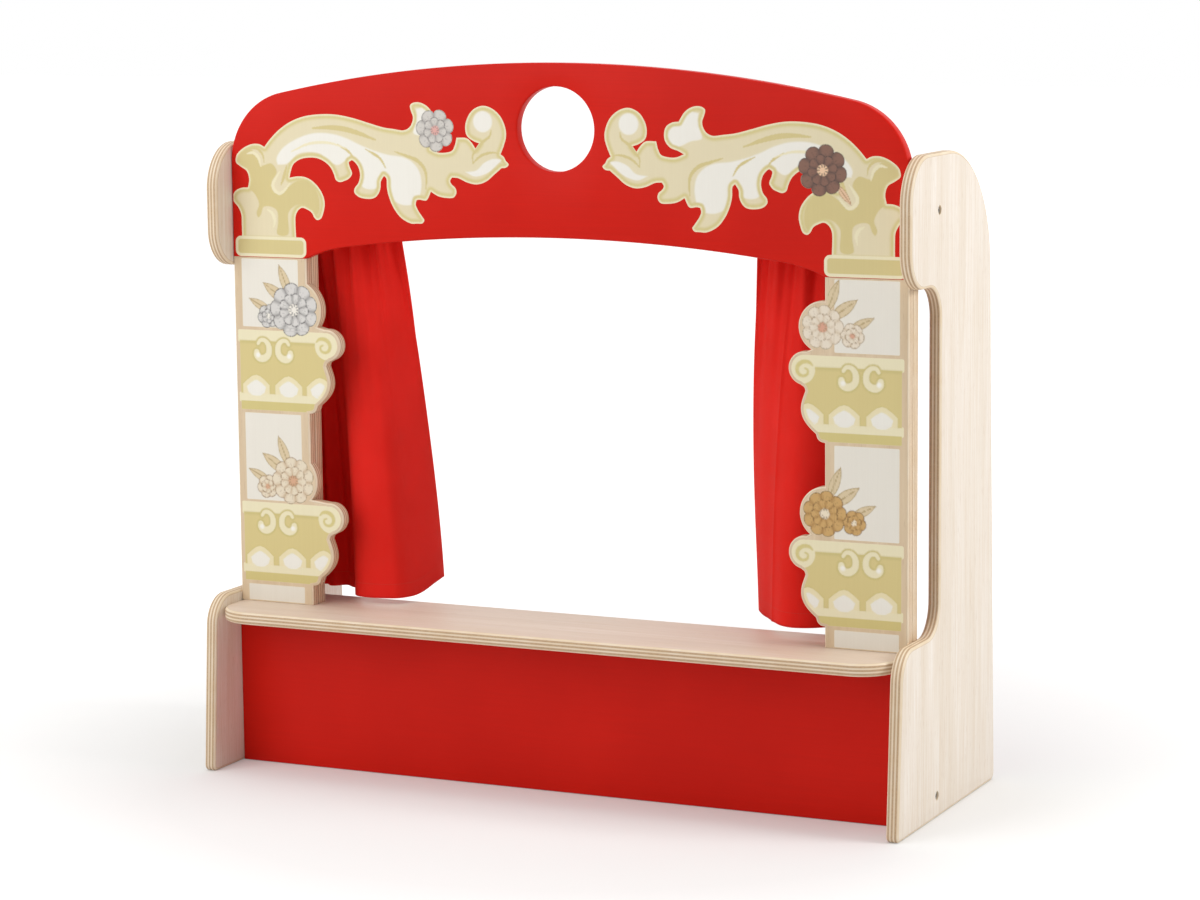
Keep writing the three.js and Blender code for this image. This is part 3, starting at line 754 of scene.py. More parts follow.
# %% Triangles of a face
def cut_plan(outline, holes, marks=(), points=()):
    """Triangles of a face: outline, holes and marks as edges, points in between."""
    every = [outline, *holes, *marks]
    starts = np.cumsum([0] + [len(loop) for loop in every])
    edges = [(s + i, s + (i + 1) % len(loop)) for s, loop in zip(starts, every) for i in range(len(loop))]
    places = np.vstack([*every, points] if len(points) else every)
    flat, _, triangles, *_ = delaunay_2d_cdt([Vector(p) for p in places], edges, [], 0, 1e-5)
    flat = np.array([tuple(v) for v in flat])
    triangles = np.array([t for t in triangles if len(t) == 3])
    centres = flat[triangles].mean(1)
    keep = contains(outline, centres)
    for hole in holes:
        keep &= ~contains(hole, centres)
    return flat, triangles[keep], centres[keep]


def faced_outward(mesh, weld=0.0):
    """Turns every face outward, after vertices nearer than the weld, in metres, became one."""
    shape = bmesh.new()
    shape.from_mesh(mesh)
    if weld:
        bmesh.ops.remove_doubles(shape, verts=shape.verts, dist=weld)
    bmesh.ops.recalc_face_normals(shape, faces=shape.faces)
    shape.to_mesh(mesh)
    shape.free()


print("a square is cut into", len(cut_plan(rectangle(0, 0, 9, 9), [])[1]), "triangles")

# %% [markdown]
# A board grows ring by ring. Each vertex stores how deep in the board it lies,
# because the layers of the cut edge are drawn from that.

# %% Shell of a board
PIT_STEP = 0.5


class Shell:
    """The vertices and faces of one board while it is built."""

    def __init__(self, stand, thickness):
        self.stand, self.thickness = stand, thickness
        self.vertices, self.depths, self.faces, self.slots, self.smooth = [], [], [], [], []

    def ring(self, loop, depth):
        """Adds the loop's vertices at a depth and gives their numbers."""
        start = len(self.vertices)
        self.vertices.extend(self.stand(p, q, depth) for p, q in loop)
        self.depths.extend([depth / self.thickness] * len(loop))
        return list(range(start, start + len(loop)))

    def face(self, corners, slot, soft=False):
        self.faces.append(tuple(int(c) for c in corners))
        self.slots.append(slot)
        self.smooth.append(soft)

    def join(self, first, second):
        """A strip of faces between two rings."""
        for corners in zip(first, np.roll(first, -1), np.roll(second, -1), second):
            self.face(corners, EDGE, True)

    def pit(self, centre, wide, narrow, level, floor):
        """A sunk hole from a level of the board to its floor; gives the loop of its mouth."""
        mouth, foot = circle(centre, wide, PIT_STEP), circle(centre, narrow, PIT_STEP * narrow / wide)
        self.join(self.ring(mouth, level), self.ring(foot, floor))
        self.face(self.ring(foot, floor), EDGE)
        return mouth

    def flat(self, outline, holes, depth, art=None):
        """A flat face; art draws the print on it."""
        places, triangles, centres = cut_plan(outline, holes, *((art.loops, art.grid()) if art else ()))
        numbers = np.array(self.ring(places, depth))
        printed = art.covers(centres) if art else np.zeros(len(triangles), bool)
        for corners, inked in zip(numbers[triangles], printed):
            self.face(corners, PRINT if inked else FACE)

    def mesh(self, name, materials):
        mesh = bpy.data.meshes.new(name)
        mesh.from_pydata([Vector(v) * MM for v in self.vertices], [], self.faces)
        for material in materials:
            mesh.materials.append(material)
        mesh.polygons.foreach_set("material_index", self.slots)
        mesh.polygons.foreach_set("use_smooth", self.smooth)
        mesh.attributes.new("ply_depth", "FLOAT", "POINT").data.foreach_set("value", self.depths)
        faced_outward(mesh, weld=0.01 * MM)
        mesh.set_sharp_from_angle(angle=math.radians(40))
        return mesh


print("a pit's mouth of 4 mm has", len(circle((0, 0), 4, PIT_STEP)), "points")

# %% [markdown]
# The work follows the joiner's order: a rounding in four steps at each face
# with the straight cut between them, the sunk holes for screws, and last the
# two flat faces. The ends that meet another board are sawn off square.

# %% A whole board
EDGE_ROUND = 1.8
SOFT_EDGE = 0.8
ROUND_STEPS = 4


def trimmed(loop, clamp):
    """The loop sawn off at a lowest and a highest height."""
    if clamp:
        loop = np.column_stack([loop[:, 0], np.clip(loop[:, 1], *clamp)])
    return loop


def edge_profile(rounding, thickness):
    """The board's edge in section, from the front face to the back one: inset and depth."""
    turns = np.linspace(0, math.pi / 2, ROUND_STEPS + 1)
    profile = [(rounding * (1 - math.sin(t)), rounding * (1 - math.cos(t))) for t in turns]
    return profile + [(inset, thickness - depth) for inset, depth in reversed(profile)]


def make_board(name, outline, stand, materials, thickness=PLY, rounding=EDGE_ROUND, windows=(),
               front_pits=(), back_pits=(), clamp=None, art=None):
    """Builds a board from loops on paper; pits are (centre, radius at the face, radius below, depth)."""
    shell = Shell(stand, thickness)
    borders = []
    for loop, left in [(outline, True), *((window, False) for window in windows)]:
        loop = turned_left(thinned(loop), left)
        rings = [shell.ring(trimmed(moved_in(loop, inset), clamp), depth)
                 for inset, depth in edge_profile(rounding, thickness)]
        for first, second in zip(rings, rings[1:]):
            shell.join(first, second)
        borders.append(trimmed(moved_in(loop, rounding), clamp))
    mouths = [shell.pit(*pit, 0, depth) for *pit, depth in front_pits]
    back_mouths = [shell.pit(*pit, thickness, thickness - depth) for *pit, depth in back_pits]
    shell.flat(borders[0], borders[1:] + mouths, 0, art)
    shell.flat(borders[0], borders[1:] + back_mouths, thickness)
    mesh = shell.mesh(name, materials)
    if art:
        art.store(mesh)
    return linked(name, mesh)


def place_piece(piece, nodes):
    """Sets a finished piece in the frame, in place of its construction nodes."""
    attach(piece, "root")
    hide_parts(*nodes)


print("an edge has", len(edge_profile(EDGE_ROUND, PLY)), "rings")

# %% [markdown]
# ## Printed pictures
#
# A print is a stack of flat inks: a ground colour first, then bands that
# follow the outline, then larger shapes, then strokes, then small flowers.
# Each layer is a function. It gets points, the colours so far, and how far
# each point is from the rim of the print, and gives the colours back.

# %% Inks and strokes
CREAM, KHAKI, GOLD, BEIGE, IVORY = "efe6c2", "d8ca8c", "d6c68a", "e6dab6", "f3f0e6"


def spread(colours, share, code):
    """Lays an ink over the colours; share says how much of it covers each point."""
    return colours + (np.array(tint(code)) - colours) * np.clip(share, 0, 1)[:, None]


def fill(loop, code, edge=0.5, kept=0.0):
    """Ink inside a loop; kept is the rim of the whole print that it stays away from."""
    def paint(points, colours, rim):
        depth = depth_in(loop, points)
        return spread(colours, (np.minimum(depth, rim - kept) if kept else depth) / edge + 0.5, code)
    return paint


def rim_band(start, end, code, edge=0.4):
    """Ink between two distances from the print's outline."""
    def paint(points, colours, rim):
        return spread(colours, np.minimum(rim - start, end - rim) / edge + 0.5, code)
    return paint


def stroke(line, code, half, edge=0.5, tapered=True):
    """A brush stroke along a line, thin at both ends."""
    line = flowing(line)
    def paint(points, colours, rim):
        away = distance_to(line, points)
        width = np.full(len(points), float(half))
        if tapered:
            gaps = np.linalg.norm(points[:, None] - line[None, ::3], axis=2)
            place = gaps.argmin(1) / max(1, len(line[::3]) - 1)
            width *= 0.35 + 0.65 * np.sin(np.pi * np.clip(place, 0, 1))
        return spread(colours, (width - away) / edge + 0.5, code)
    return paint


print("inks:", CREAM, KHAKI, GOLD, BEIGE, IVORY)

# %% [markdown]
# Scrolls are ribbons that swell and thin along their way. A flower is a reach
# that rises and falls with the angle, and a leaf lies between two curves from
# its foot to its tip. Each shape comes as a loop, for the edge of the print,
# and the last two as a layer of ink too.

# %% Ribbons, flowers and leaves
def ribbon(line, halves):
    """A closed loop round a line; halves are the half widths that it has along its way."""
    line = flowing(line, 0.8)
    way = walked(line)
    half = np.interp(way / way[-1], np.linspace(0, 1, len(halves)), halves)[:, None]
    ahead = np.gradient(line, axis=0)
    ahead /= np.linalg.norm(ahead, axis=1)[:, None]
    side = np.column_stack([-ahead[:, 1], ahead[:, 0]]) * half
    first, last = (math.atan2(*step[::-1]) for step in (ahead[0], ahead[-1]))
    quarter = math.pi / 2
    end_cap = arc(line[-1], halves[-1], last + quarter, last - quarter)[1:-1]
    start_cap = arc(line[0], halves[0], first - quarter, first - 3 * quarter)[1:-1]
    return np.vstack([line + side, end_cap, (line - side)[::-1], start_cap])


def petal_reach(angle, radius, petals, dent):
    """Outline of a flower with round petals."""
    return radius * (1 - dent + dent * np.abs(np.cos(petals * angle / 2)) ** 0.6)


def flower_loop(centre, radius, petals, turn=0.0, dent=0.2):
    angle = np.linspace(0, 2 * math.pi, 16 * petals, endpoint=False)
    reach = petal_reach(angle, radius, petals, dent)
    way = np.column_stack([np.cos(angle + turn), np.sin(angle + turn)])
    return centre + reach[:, None] * way


def flower(centre, radius, petals, inks, turn=0.0, dent=0.2, rows=2):
    """A flower of one or two rows of petals. inks are pale, deep, line and heart."""
    pale, deep, line, heart = inks
    def paint(points, colours, rim):
        offset = points - centre
        away = np.linalg.norm(offset, axis=1)
        for row in range(rows):
            size = radius * (1 - 0.38 * row)
            angle = np.arctan2(offset[:, 1], offset[:, 0]) - turn - row * math.pi / petals
            reach = petal_reach(angle, size, petals, dent)
            inside = (reach - away) / 0.5 + 0.5
            colours = spread(colours, inside, line)
            inner = (reach - 0.7 - away) / 0.5 + 0.5
            colours = spread(colours, inner, pale)
            between = 1 - np.abs(np.cos(petals * angle / 2))
            shade = np.clip(between * 1.5 - 0.45, 0, 1) + np.clip(1.05 - away / (0.62 * size), 0, 1)
            colours = spread(colours, np.minimum(inner, shade * 0.8), deep)
            vein = np.abs(np.sin(petals * angle * 2)) < 0.16
            vein &= (away > 0.35 * size) & (away < 0.8 * size)
            colours = spread(colours, np.minimum(inner, vein * 0.35), line)
        colours = spread(colours, (0.22 * radius - away) / 0.5 + 0.5, heart)
        ring = 0.16 * radius - np.abs(away - 0.16 * radius) * 3
        dots = np.cos(9 * np.arctan2(offset[:, 1], offset[:, 0])) > 0.2
        return spread(colours, np.minimum(ring / 0.5, dots * 0.7), line)
    return paint


def leaf_loop(foot, tip, width):
    """A pointed leaf between its foot and its tip."""
    foot, tip = np.array(foot, float), np.array(tip, float)
    along = tip - foot
    side = np.array([-along[1], along[0]]) / np.linalg.norm(along) * width
    low, high = foot + along * 0.28, foot + along * 0.72
    return np.vstack([bezier(foot, low + side, high + side * 0.7, tip, count=10)[:-1],
                      bezier(tip, high - side * 0.7, low - side, foot, count=10)[:-1]])


def leaf(foot, tip, width, pale, line):
    """A printed leaf with a middle vein."""
    body = fill(leaf_loop(foot, tip, width), line, 0.5)
    inner = fill(moved_in(turned_left(leaf_loop(foot, tip, width)), 0.6), pale, 0.5)
    vein = stroke([foot, tip], line, 0.5, 0.4)
    return lambda points, colours, rim: vein(points, inner(points, body(points, colours, rim), rim), rim)


print("a flower of nine petals has", len(flower_loop((0, 0), 20, 9)), "points")

# %% [markdown]
# A picture is drawn in millimetres from the board's outer edge inward and from
# a floor upward, so one drawing serves the left side and, mirrored, the right
# side. Its silhouettes say where ink may lie, and a room, where there is one,
# keeps all of them off the board's contour.

# %% Picture
class Picture:
    """A print on one side of the theatre."""

    def __init__(self, side, floor, silhouettes, layers, marks=(), spacing=1.2, room=None):
        self.side, self.floor, self.spacing = side, floor, spacing
        self.silhouettes, self.layers, self.marks, self.room = silhouettes, layers, marks, room

    def on_board(self, drawn):
        return np.column_stack([self.side * (BOARD_HALF - drawn[:, 0]), self.floor + drawn[:, 1]])

    def off_board(self, places):
        return np.column_stack([BOARD_HALF - self.side * places[:, 0], places[:, 1] - self.floor])

    def covers(self, drawn):
        result = np.any([contains(loop, drawn) for loop in self.silhouettes], axis=0)
        return result if self.room is None else result & contains(self.room, drawn)

    def loops(self):
        return [*self.silhouettes, *self.marks, *([] if self.room is None else [self.room])]

    def grid(self):
        every = np.vstack(self.silhouettes)
        low, high = every.min(0), every.max(0)
        across = np.arange(low[0], high[0], self.spacing)
        up = np.arange(low[1], high[1], self.spacing)
        points = np.array(np.meshgrid(across, up)).reshape(2, -1).T
        points[::2, 1] += 0.5 * self.spacing
        return points[self.covers(points)]

    def paint(self, drawn):
        if self.room is None:
            rim = np.max([depth_in(loop, drawn) for loop in self.silhouettes], axis=0)
        else:
            rim = distance_to(self.room, drawn, closed=True)
        colours = np.tile(tint(CREAM), (len(drawn), 1))
        for layer in self.layers:
            colours = layer(drawn, colours, rim)
        return colours

# %% [markdown]
# The inks are stored at the corners of the printed faces. Each corner looks up
# its colour a little inside its own face, so that two faces that meet on a
# line of the print keep different colours.

# %% Pictures on a board
LOOK_INSIDE = 0.15


def listed(items, name, kind, width=1):
    """One value, or a row of width values, of each vertex, corner or face of a mesh."""
    values = np.zeros(len(items) * width, kind)
    items.foreach_get(name, values)
    return values.reshape(-1, width) if width > 1 else values


class Art:
    """All the pictures on one board."""

    def __init__(self, pictures):
        self.pictures = pictures
        self.loops = [picture.on_board(loop) for picture in pictures for loop in picture.loops()]

    def grid(self):
        return np.vstack([picture.on_board(picture.grid()) for picture in self.pictures])

    def covers(self, places):
        return np.any([picture.covers(picture.off_board(places)) for picture in self.pictures], axis=0)

    def store(self, mesh):
        places = listed(mesh.vertices, "co", float, 3)[:, [X, Z]] / MM
        printed = listed(mesh.polygons, "material_index", int) == PRINT
        corners = listed(mesh.polygons, "loop_start", int)[printed][:, None] + np.arange(3)
        spots = places[listed(mesh.loops, "vertex_index", int)[corners]]
        spots += (spots.mean(1, keepdims=True) - spots) * LOOK_INSIDE
        flat = spots.reshape(-1, 2)
        inks = np.tile(tint(CREAM), (len(flat), 1))
        for picture in self.pictures:
            drawn = picture.off_board(flat)
            here = picture.covers(drawn)
            inks[here] = picture.paint(drawn[here])
        colours = np.ones((len(mesh.loops), 4))
        colours[corners.reshape(-1)] = inks
        mesh.attributes.new("ink", "FLOAT_COLOR", "CORNER").data.foreach_set("color", colours.reshape(-1))

# %% [markdown]
# ## Side panels, shelf and front panel
#
# The two side panels carry everything. Each is a C: a base, a slim upright at
# the back, and a head that reaches forward over the stage. The outline is the
# one of the frame, with finer arcs, and a router has rounded its edges a
# little more than those of the other boards. Their outer faces have two sunk
# holes each, where long screws go into the ends of the rods.

# %% Plain boards
COUNTERBORE = (4.35, 4.35, 4.4)
BOARD_ROUND = 2.8
SIDE_DEPTH, REAR_TOP, HEAD_SETBACK, NOTCH_DEPTH, BASE_LEAN = 272, 247, 31, 111, 12
BASE_TOP, HEAD_BOTTOM, HEAD_TOP = SHELF_TOP + 11, FEET - 9, FEET + 112
SHELF_FRONT_CORNER, SHELF_REAR_CORNER = 38, 3
SIDES = {"left": -1, "right": 1}


def side_outline():
    """The C of a side panel: depth along the floor, height, radius of the corner."""
    corners = [
        (0, 0, 6), (SIDE_DEPTH, 0, 8), (REAR_TOP, HEAD_TOP, 118), (HEAD_SETBACK, HEAD_TOP, 45),
        (HEAD_SETBACK, HEAD_BOTTOM, 36), (NOTCH_DEPTH, HEAD_BOTTOM, 30), (NOTCH_DEPTH, BASE_TOP, 30),
        (BASE_LEAN, BASE_TOP, 30),
    ]
    return rounded([(FRONT + y, z, radius) for y, z, radius in corners])


for word, side in SIDES.items():
    screws = [((ROD_Y, height), *COUNTERBORE) for height in (ROD_Z, STRETCHER_Z)]
    panel = make_board(f"side_{word}", side_outline(), facing_side(side), [BIRCH_UPRIGHT, PLY_EDGE],
                       front_pits=screws, rounding=BOARD_ROUND)
    place_piece(panel, [f"side_panel_{word}"])

shelf_back = span("stage_shelf", Y)[1]
shelf_outline = rounded([
    (-BOARD_HALF, FRONT, SHELF_FRONT_CORNER), (BOARD_HALF, FRONT, SHELF_FRONT_CORNER),
    (BOARD_HALF, shelf_back, SHELF_REAR_CORNER), (-BOARD_HALF, shelf_back, SHELF_REAR_CORNER),
])
# The shelf takes the birch that carries painted shade and a painted red reflection.
shelf = make_board("shelf", shelf_outline, facing_up(SHELF_TOP), [BIRCH_LENGTHWISE_PAINTED_SHADE, PLY_EDGE],
                   rounding=BOARD_ROUND)
place_piece(shelf, ["stage_shelf"])

panel_low, panel_high = span("front_panel", Z)
panel_outline = rectangle(-BOARD_HALF, panel_low, BOARD_HALF, panel_high)
front_panel = make_board("front", panel_outline, facing_front(span("front_panel", Y)[0]),
                         [RED_PAINT, RED_PAINT], rounding=SOFT_EDGE)
place_piece(front_panel, ["front_panel"])
print("plain boards:", [len(o.data.polygons) for o in (panel, shelf, front_panel)], "faces")

# %% [markdown]
# ## The arch and its ornament
#
# The arch is one red board: flat feet over the columns, a small haunch, a
# long flat curve below, and a crown that turns down into the side panels. The
# window in the middle is round. Over each column sits a printed capital with
# an acanthus leaf that grows out of it along the arch. Its outline was drawn
# as a chain of curves that meet in sharp corners, because that is how leaf
# tips and hollows read from a distance.

# %% Ornament of the arch
LEAF_CURVES = [
    [(12, 32), (11.5, 42), (8, 49), (3.5, 54), (2.5, 59), (6, 64.5), (13, 67.5), (20, 68)],
    [(21.5, 76), (19, 84), (12, 88.5), (7, 92.5), (8, 99.5), (15, 106), (25.5, 110.5), (34, 110.5),
     (39.5, 108)],
    [(46, 115.5), (56.5, 125), (68.5, 132.5), (83.5, 138), (101, 140.5), (119, 140.5), (137, 137.5),
     (154, 133), (170, 129), (182, 127.5), (192, 126.5), (198, 129), (201.5, 134), (202.5, 139.5),
     (200.5, 145), (199.5, 150), (202, 152.5), (208, 153.5), (214, 152), (220, 148), (224, 142.5),
     (226, 139)],
    [(233, 138), (239, 134), (241, 127), (240, 121), (235, 115), (227, 112), (221, 109)],
    [(229, 106), (237, 106), (244, 108), (247, 113), (249, 120.5)],
    [(260, 120), (265, 116), (269, 110.5)],
    [(273, 115.5)],
    [(267, 117.5), (260, 122.5), (258.5, 132), (262, 141.5), (267.5, 147.5), (277, 151), (287, 148.5),
     (296, 141), (301, 130), (301.5, 122), (299, 113.5), (295.5, 105.5)],
    [(299, 103), (301, 99.5), (304, 96), (301, 93), (296.5, 92.5)],
    [(289, 86.5), (280, 79.5), (270, 76.5), (260, 78), (250, 82), (243.5, 82.5)],
    [(241.5, 79), (243, 76), (247, 72.5), (248, 68), (245, 63.5), (236, 63), (228, 64.5), (220.5, 68.5)],
    [(218.5, 64), (215.5, 60), (208, 60.5), (205, 60)],
    [(204, 56), (206, 51), (211, 44), (213, 41), (211, 38), (205, 37.5), (198.5, 37.5), (188, 42.5),
     (180.5, 51), (175.5, 61), (173, 71), (172.5, 80), (170, 82.5)],
    [(166.5, 77), (166, 71), (163.5, 65), (159, 61), (150, 60), (141.5, 62), (137.5, 66), (138, 70),
     (142, 75), (144, 83), (142, 91), (137.5, 96), (135.5, 97)],
    [(132.5, 95), (133, 91), (135.5, 84), (132, 79), (128, 77), (122, 75.5), (118, 77.5), (116, 83),
     (112.5, 89.5), (106, 95), (98.5, 98), (89, 98.5), (79, 96.5), (72, 92), (69, 86), (67, 78.5)],
    [(76, 80), (86, 79), (96, 73), (103.5, 63), (105.5, 54), (104, 46), (101, 39.5), (97, 38), (94, 40),
     (91, 45), (86, 48), (80.5, 49.5), (76, 47), (73, 41.5), (72.5, 34), (73, 20)],
    [(73, 16)],
    [(12, 16)],
    [(12, 18)],
]
print("leaf curves:", len(LEAF_CURVES), "with", sum(map(len, LEAF_CURVES)), "points")

# %% [markdown]
# Inside that outline lie a darker shade on the capital, pale leaf blades, and
# strokes of a brush that model the ribs. A bar closes the capital below, and
# one large flower sits on each scroll.

# %% Shades, strokes and flowers of the arch
CAPITAL_SHADE = [
    (20, 68), (21, 83), (16, 88), (10, 94), (10, 100), (16, 104), (25, 105), (31, 99), (35, 90), (47, 92),
    (53, 84), (47, 73), (53, 64), (63, 68), (74, 75), (84, 76), (94, 70), (99, 61), (100, 50), (97, 43),
    (92, 47), (87, 51), (80, 53), (72, 51), (65, 44), (64, 23), (52, 23), (53, 35), (52, 46), (44, 50),
    (37, 49), (34, 42), (31, 39), (29, 43), (32, 52), (28, 61),
]
LONG_LEAF = [
    (54, 91), (53, 97), (60, 107), (75, 116), (94, 122), (114, 122), (130, 118), (144, 112), (158, 107),
    (174, 103), (190, 101), (200, 97), (207, 90), (210, 82), (210, 70), (205, 58), (190, 55), (178, 62),
    (172, 84), (160, 70), (146, 72), (146, 92), (136, 101), (120, 92), (100, 103), (78, 102), (64, 92),
]
MIDDLE_LEAF = [
    (206, 147), (214, 148), (220, 143), (224, 136), (232, 134), (237, 128), (235, 121), (228, 116),
    (214, 121), (203, 124), (205, 132), (207, 140),
]
LEAF_TIP = [(258, 88), (270, 90), (278, 97), (288, 101), (296, 100), (292, 96), (282, 88), (268, 84)]
SHADES = [
    (CAPITAL_SHADE, GOLD, 1.0, 3.2), (LONG_LEAF, IVORY, 1.6, 4.6), (MIDDLE_LEAF, IVORY, 1.6, 4.2),
    (LEAF_TIP, IVORY, 1.2, 3.2),
]
GOLD_STROKES = [
    ([(94, 127), (110, 128), (126, 127), (143, 123), (161, 117)], 2.6),
    ([(182, 106), (195, 102), (206, 98), (214, 90), (216, 80), (215, 71)], 1.8),
    ([(286, 128), (284, 122), (277, 117), (271, 110), (266, 104), (266, 97)], 1.6),
    ([(266, 96), (271, 101), (278, 105), (288, 107), (294, 106)], 1.4),
    ([(150, 108), (166, 99), (172, 90)], 1.3),
    ([(120, 112), (131, 106), (138, 99)], 1.3),
    ([(64, 90), (61, 80), (57.5, 71.5)], 1.7),
    ([(22, 106), (31, 106), (37, 101), (39, 93)], 1.3),
]
PALE_STROKES = [
    ([(20, 101), (27, 102), (32.5, 97.5), (35, 89)], 1.7),
    ([(56, 84), (51, 77), (48, 71), (50.5, 65.5), (56, 63), (62, 67), (67, 73)], 1.8),
    ([(41.5, 46.8), (47, 43), (49.3, 37), (48, 30)], 1.8),
    ([(70, 104), (90, 112), (112, 113), (130, 108)], 1.4),
]
SCROLL_EYE, SCROLL_EYE_RADIUS = (277, 136), 10
BASE_BAR = rectangle(3, 0.4, 82.5, 20.4, 6)
BASE_BAR_LINE = 3
BLOSSOMS = {
    "left": ((226, 127), 20.5, 7, ("d2cdc6", "9b9692", "77716d", "e0a9a0"), 0.3),
    "right": ((84, 97), 24, 8, ("7d5746", "4a332b", "35231e", "efc9a4"), 0.2),
}
LEAVES = {"left": [], "right": [((96, 84), (112, 66), 5), ((70, 84), (56, 66), 5)]}
CAPITAL_SHIFTS = {"left": -1.5, "right": 2.0}

print("ornament:", len(SHADES), "shades,", len(GOLD_STROKES) + len(PALE_STROKES), "strokes")

# %% [markdown]
# The leaf curves form a chain: each starts where the one before it ended. The
# bands that follow the rim are wide and soft first, narrow and crisp on top.

# %% Picture of the ornament
def ornament(word, side):
    def moved(points):
        """The capital sits a little to one side, and the leaf runs out of it."""
        points = np.array(points, float)
        points[:, 0] += CAPITAL_SHIFTS[word] * np.clip((150 - points[:, 0]) / 50, 0, 1)
        return points

    chain = [[before[-1], *curve] for before, curve in zip([LEAF_CURVES[-1], *LEAF_CURVES], LEAF_CURVES)]
    leaf_outline = np.vstack([flowing(moved(curve))[:-1] for curve in chain])
    bar_inside = moved_in(turned_left(BASE_BAR), BASE_BAR_LINE)
    centre, radius, petals, inks, turn = BLOSSOMS[word]
    layers = [
        rim_band(1.9, 1e6, BEIGE),
        rim_band(1.9, 4.6, KHAKI, 2.6),
        rim_band(1.9, 3.0, KHAKI),
        *(fill(flowing(moved([*loop, loop[0]])), ink, edge, kept) for loop, ink, edge, kept in SHADES),
        fill(circle(SCROLL_EYE, SCROLL_EYE_RADIUS), IVORY, 1.6),
        *(stroke(moved(line), GOLD, half) for line, half in GOLD_STROKES),
        *(stroke(moved(line), CREAM, half) for line, half in PALE_STROKES),
        fill(BASE_BAR, CREAM),
        fill(bar_inside, GOLD, 0.4),
        *(leaf(foot, tip, width, "e8c6a2", "b98d68") for foot, tip, width in LEAVES[word]),
        flower(centre, radius, petals, inks, turn),
    ]
    silhouettes = [leaf_outline, BASE_BAR, flower_loop(centre, radius, petals, turn)]
    return Picture(side, FEET, silhouettes, layers, [bar_inside], spacing=1.1)


art_of_arch = Art([ornament(word, side) for word, side in SIDES.items()])
print("ornament:", sum(len(picture.layers) for picture in art_of_arch.pictures), "layers of ink")

# %% [markdown]
# The board itself is drawn from its feet: up the side, over a corner into the
# crown, down the other side, and back along the haunches and the long curve
# below. Its corners are rounder here than in the frame, as on the real arch.

# %% Arch
ARCH_CROWN_RADIUS, ARCH_CORNER, ARCH_SOFFIT_RADIUS, SOFFIT_RISE = 1430, 70, 1702, 27.5
COLUMN_WIDTH, HAUNCH, HAUNCH_BEND, HAUNCH_RISE = 82, 39, 19, 8.5
WINDOW_RADIUS, WINDOW_DROP = 40, 62
ARCH_CROWN = span("arch_panel", Z)[1]
SAWN_OFF = 3


def arch_outline():
    foot_inner = BOARD_HALF - COLUMN_WIDTH
    haunch_inner = foot_inner - HAUNCH
    soffit_middle = FEET + SOFFIT_RISE - ARCH_SOFFIT_RADIUS
    soffit_half = math.asin(haunch_inner / ARCH_SOFFIT_RADIUS)
    haunch_top = soffit_middle + ARCH_SOFFIT_RADIUS * math.cos(soffit_half)
    crown_middle = ARCH_CROWN - ARCH_CROWN_RADIUS
    corner_x = BOARD_HALF - ARCH_CORNER
    corner_half = math.asin(corner_x / (ARCH_CROWN_RADIUS - ARCH_CORNER))
    corner_z = crown_middle + (ARCH_CROWN_RADIUS - ARCH_CORNER) * math.cos(corner_half)
    bend = (foot_inner - HAUNCH_BEND, FEET + HAUNCH_RISE)
    up = math.pi / 2
    right = [
        [(foot_inner, FEET - SAWN_OFF), (BOARD_HALF, FEET - SAWN_OFF)],
        arc((corner_x, corner_z), ARCH_CORNER, 0, up - corner_half),
    ]
    crown = arc((0, crown_middle), ARCH_CROWN_RADIUS, up - corner_half, up + corner_half, 4)[1:-1]
    soffit = arc((0, soffit_middle), ARCH_SOFFIT_RADIUS, up + soffit_half, up - soffit_half, 4)[1:-1]
    left = [np.array(part)[::-1] * (-1, 1) for part in reversed(right)]
    haunch = bezier((haunch_inner, haunch_top), bend, (foot_inner, FEET))
    return np.vstack([*right, crown, *left, haunch[::-1] * (-1, 1), soffit, haunch])


window = circle((0, ARCH_CROWN - WINDOW_DROP), WINDOW_RADIUS)
arch = make_board("arch", arch_outline(), facing_front(COLUMN_FRONT), [RED_PAINT, RED_PAINT, INK],
                  windows=[window], clamp=(FEET, ARCH_CROWN), art=art_of_arch)
place_piece(arch, ["arch_panel"])
print("arch:", len(arch.data.polygons), "faces")

# %% [markdown]
# ## The two columns
#
# A column is a printed board with a contour cut along its inner edge: two
# balconies, each with a bowl, a scroll, and the round head of a flower above
# its ledge. The boards differ from left to right only in those flowers. The
# bare rim of about three millimetres comes from cutting outside the print, so
# that a slip of the saw never touches the ink.

# %% Contour of a column
BALCONY_FEET = (19.5, 191)
COVE = [(0, 0), (4.2, 0.9), (7.4, 3.6), (9, 8)]
BOWL = [(9, 8), (14.3, 12.5), (19.4, 18.2), (22.6, 24.2), (23.8, 30.2), (23.2, 36.5), (21.2, 42.6),
        (19.4, 47.6)]
NECK = [(19.4, 47.6), (20.6, 50.7), (24.4, 53.2)]
VOLUTE_REACH, VOLUTE_HEIGHT, VOLUTE_RADIUS = 20.3, 68.4, 15.6
LEDGE_HEIGHT = 86
BLOOMS = {"left": ((62, 104, 27), (67, 102, 30)), "right": ((82, 106, 25), (84, 107, 24))}
COLUMN_HEIGHT = FEET - SHELF_TOP


def balcony_edge(foot, bloom):
    """The contour of one balcony and of the flower above it: (reach, height) on the column."""
    wide = COLUMN_WIDTH
    cove, bowl, neck = (flowing([(wide + x, foot + y) for x, y in part]) for part in (COVE, BOWL, NECK))
    centre = (wide + VOLUTE_REACH, foot + VOLUTE_HEIGHT)
    scroll = arc(centre, VOLUTE_RADIUS, math.radians(-75), math.radians(97))
    reach, height, radius = bloom
    start = math.asin((LEDGE_HEIGHT - height) / radius)
    head = arc((reach, foot + height), radius, start, math.acos((wide - reach) / radius))
    return np.vstack([cove, bowl[1:], neck[1:-1], scroll, head])


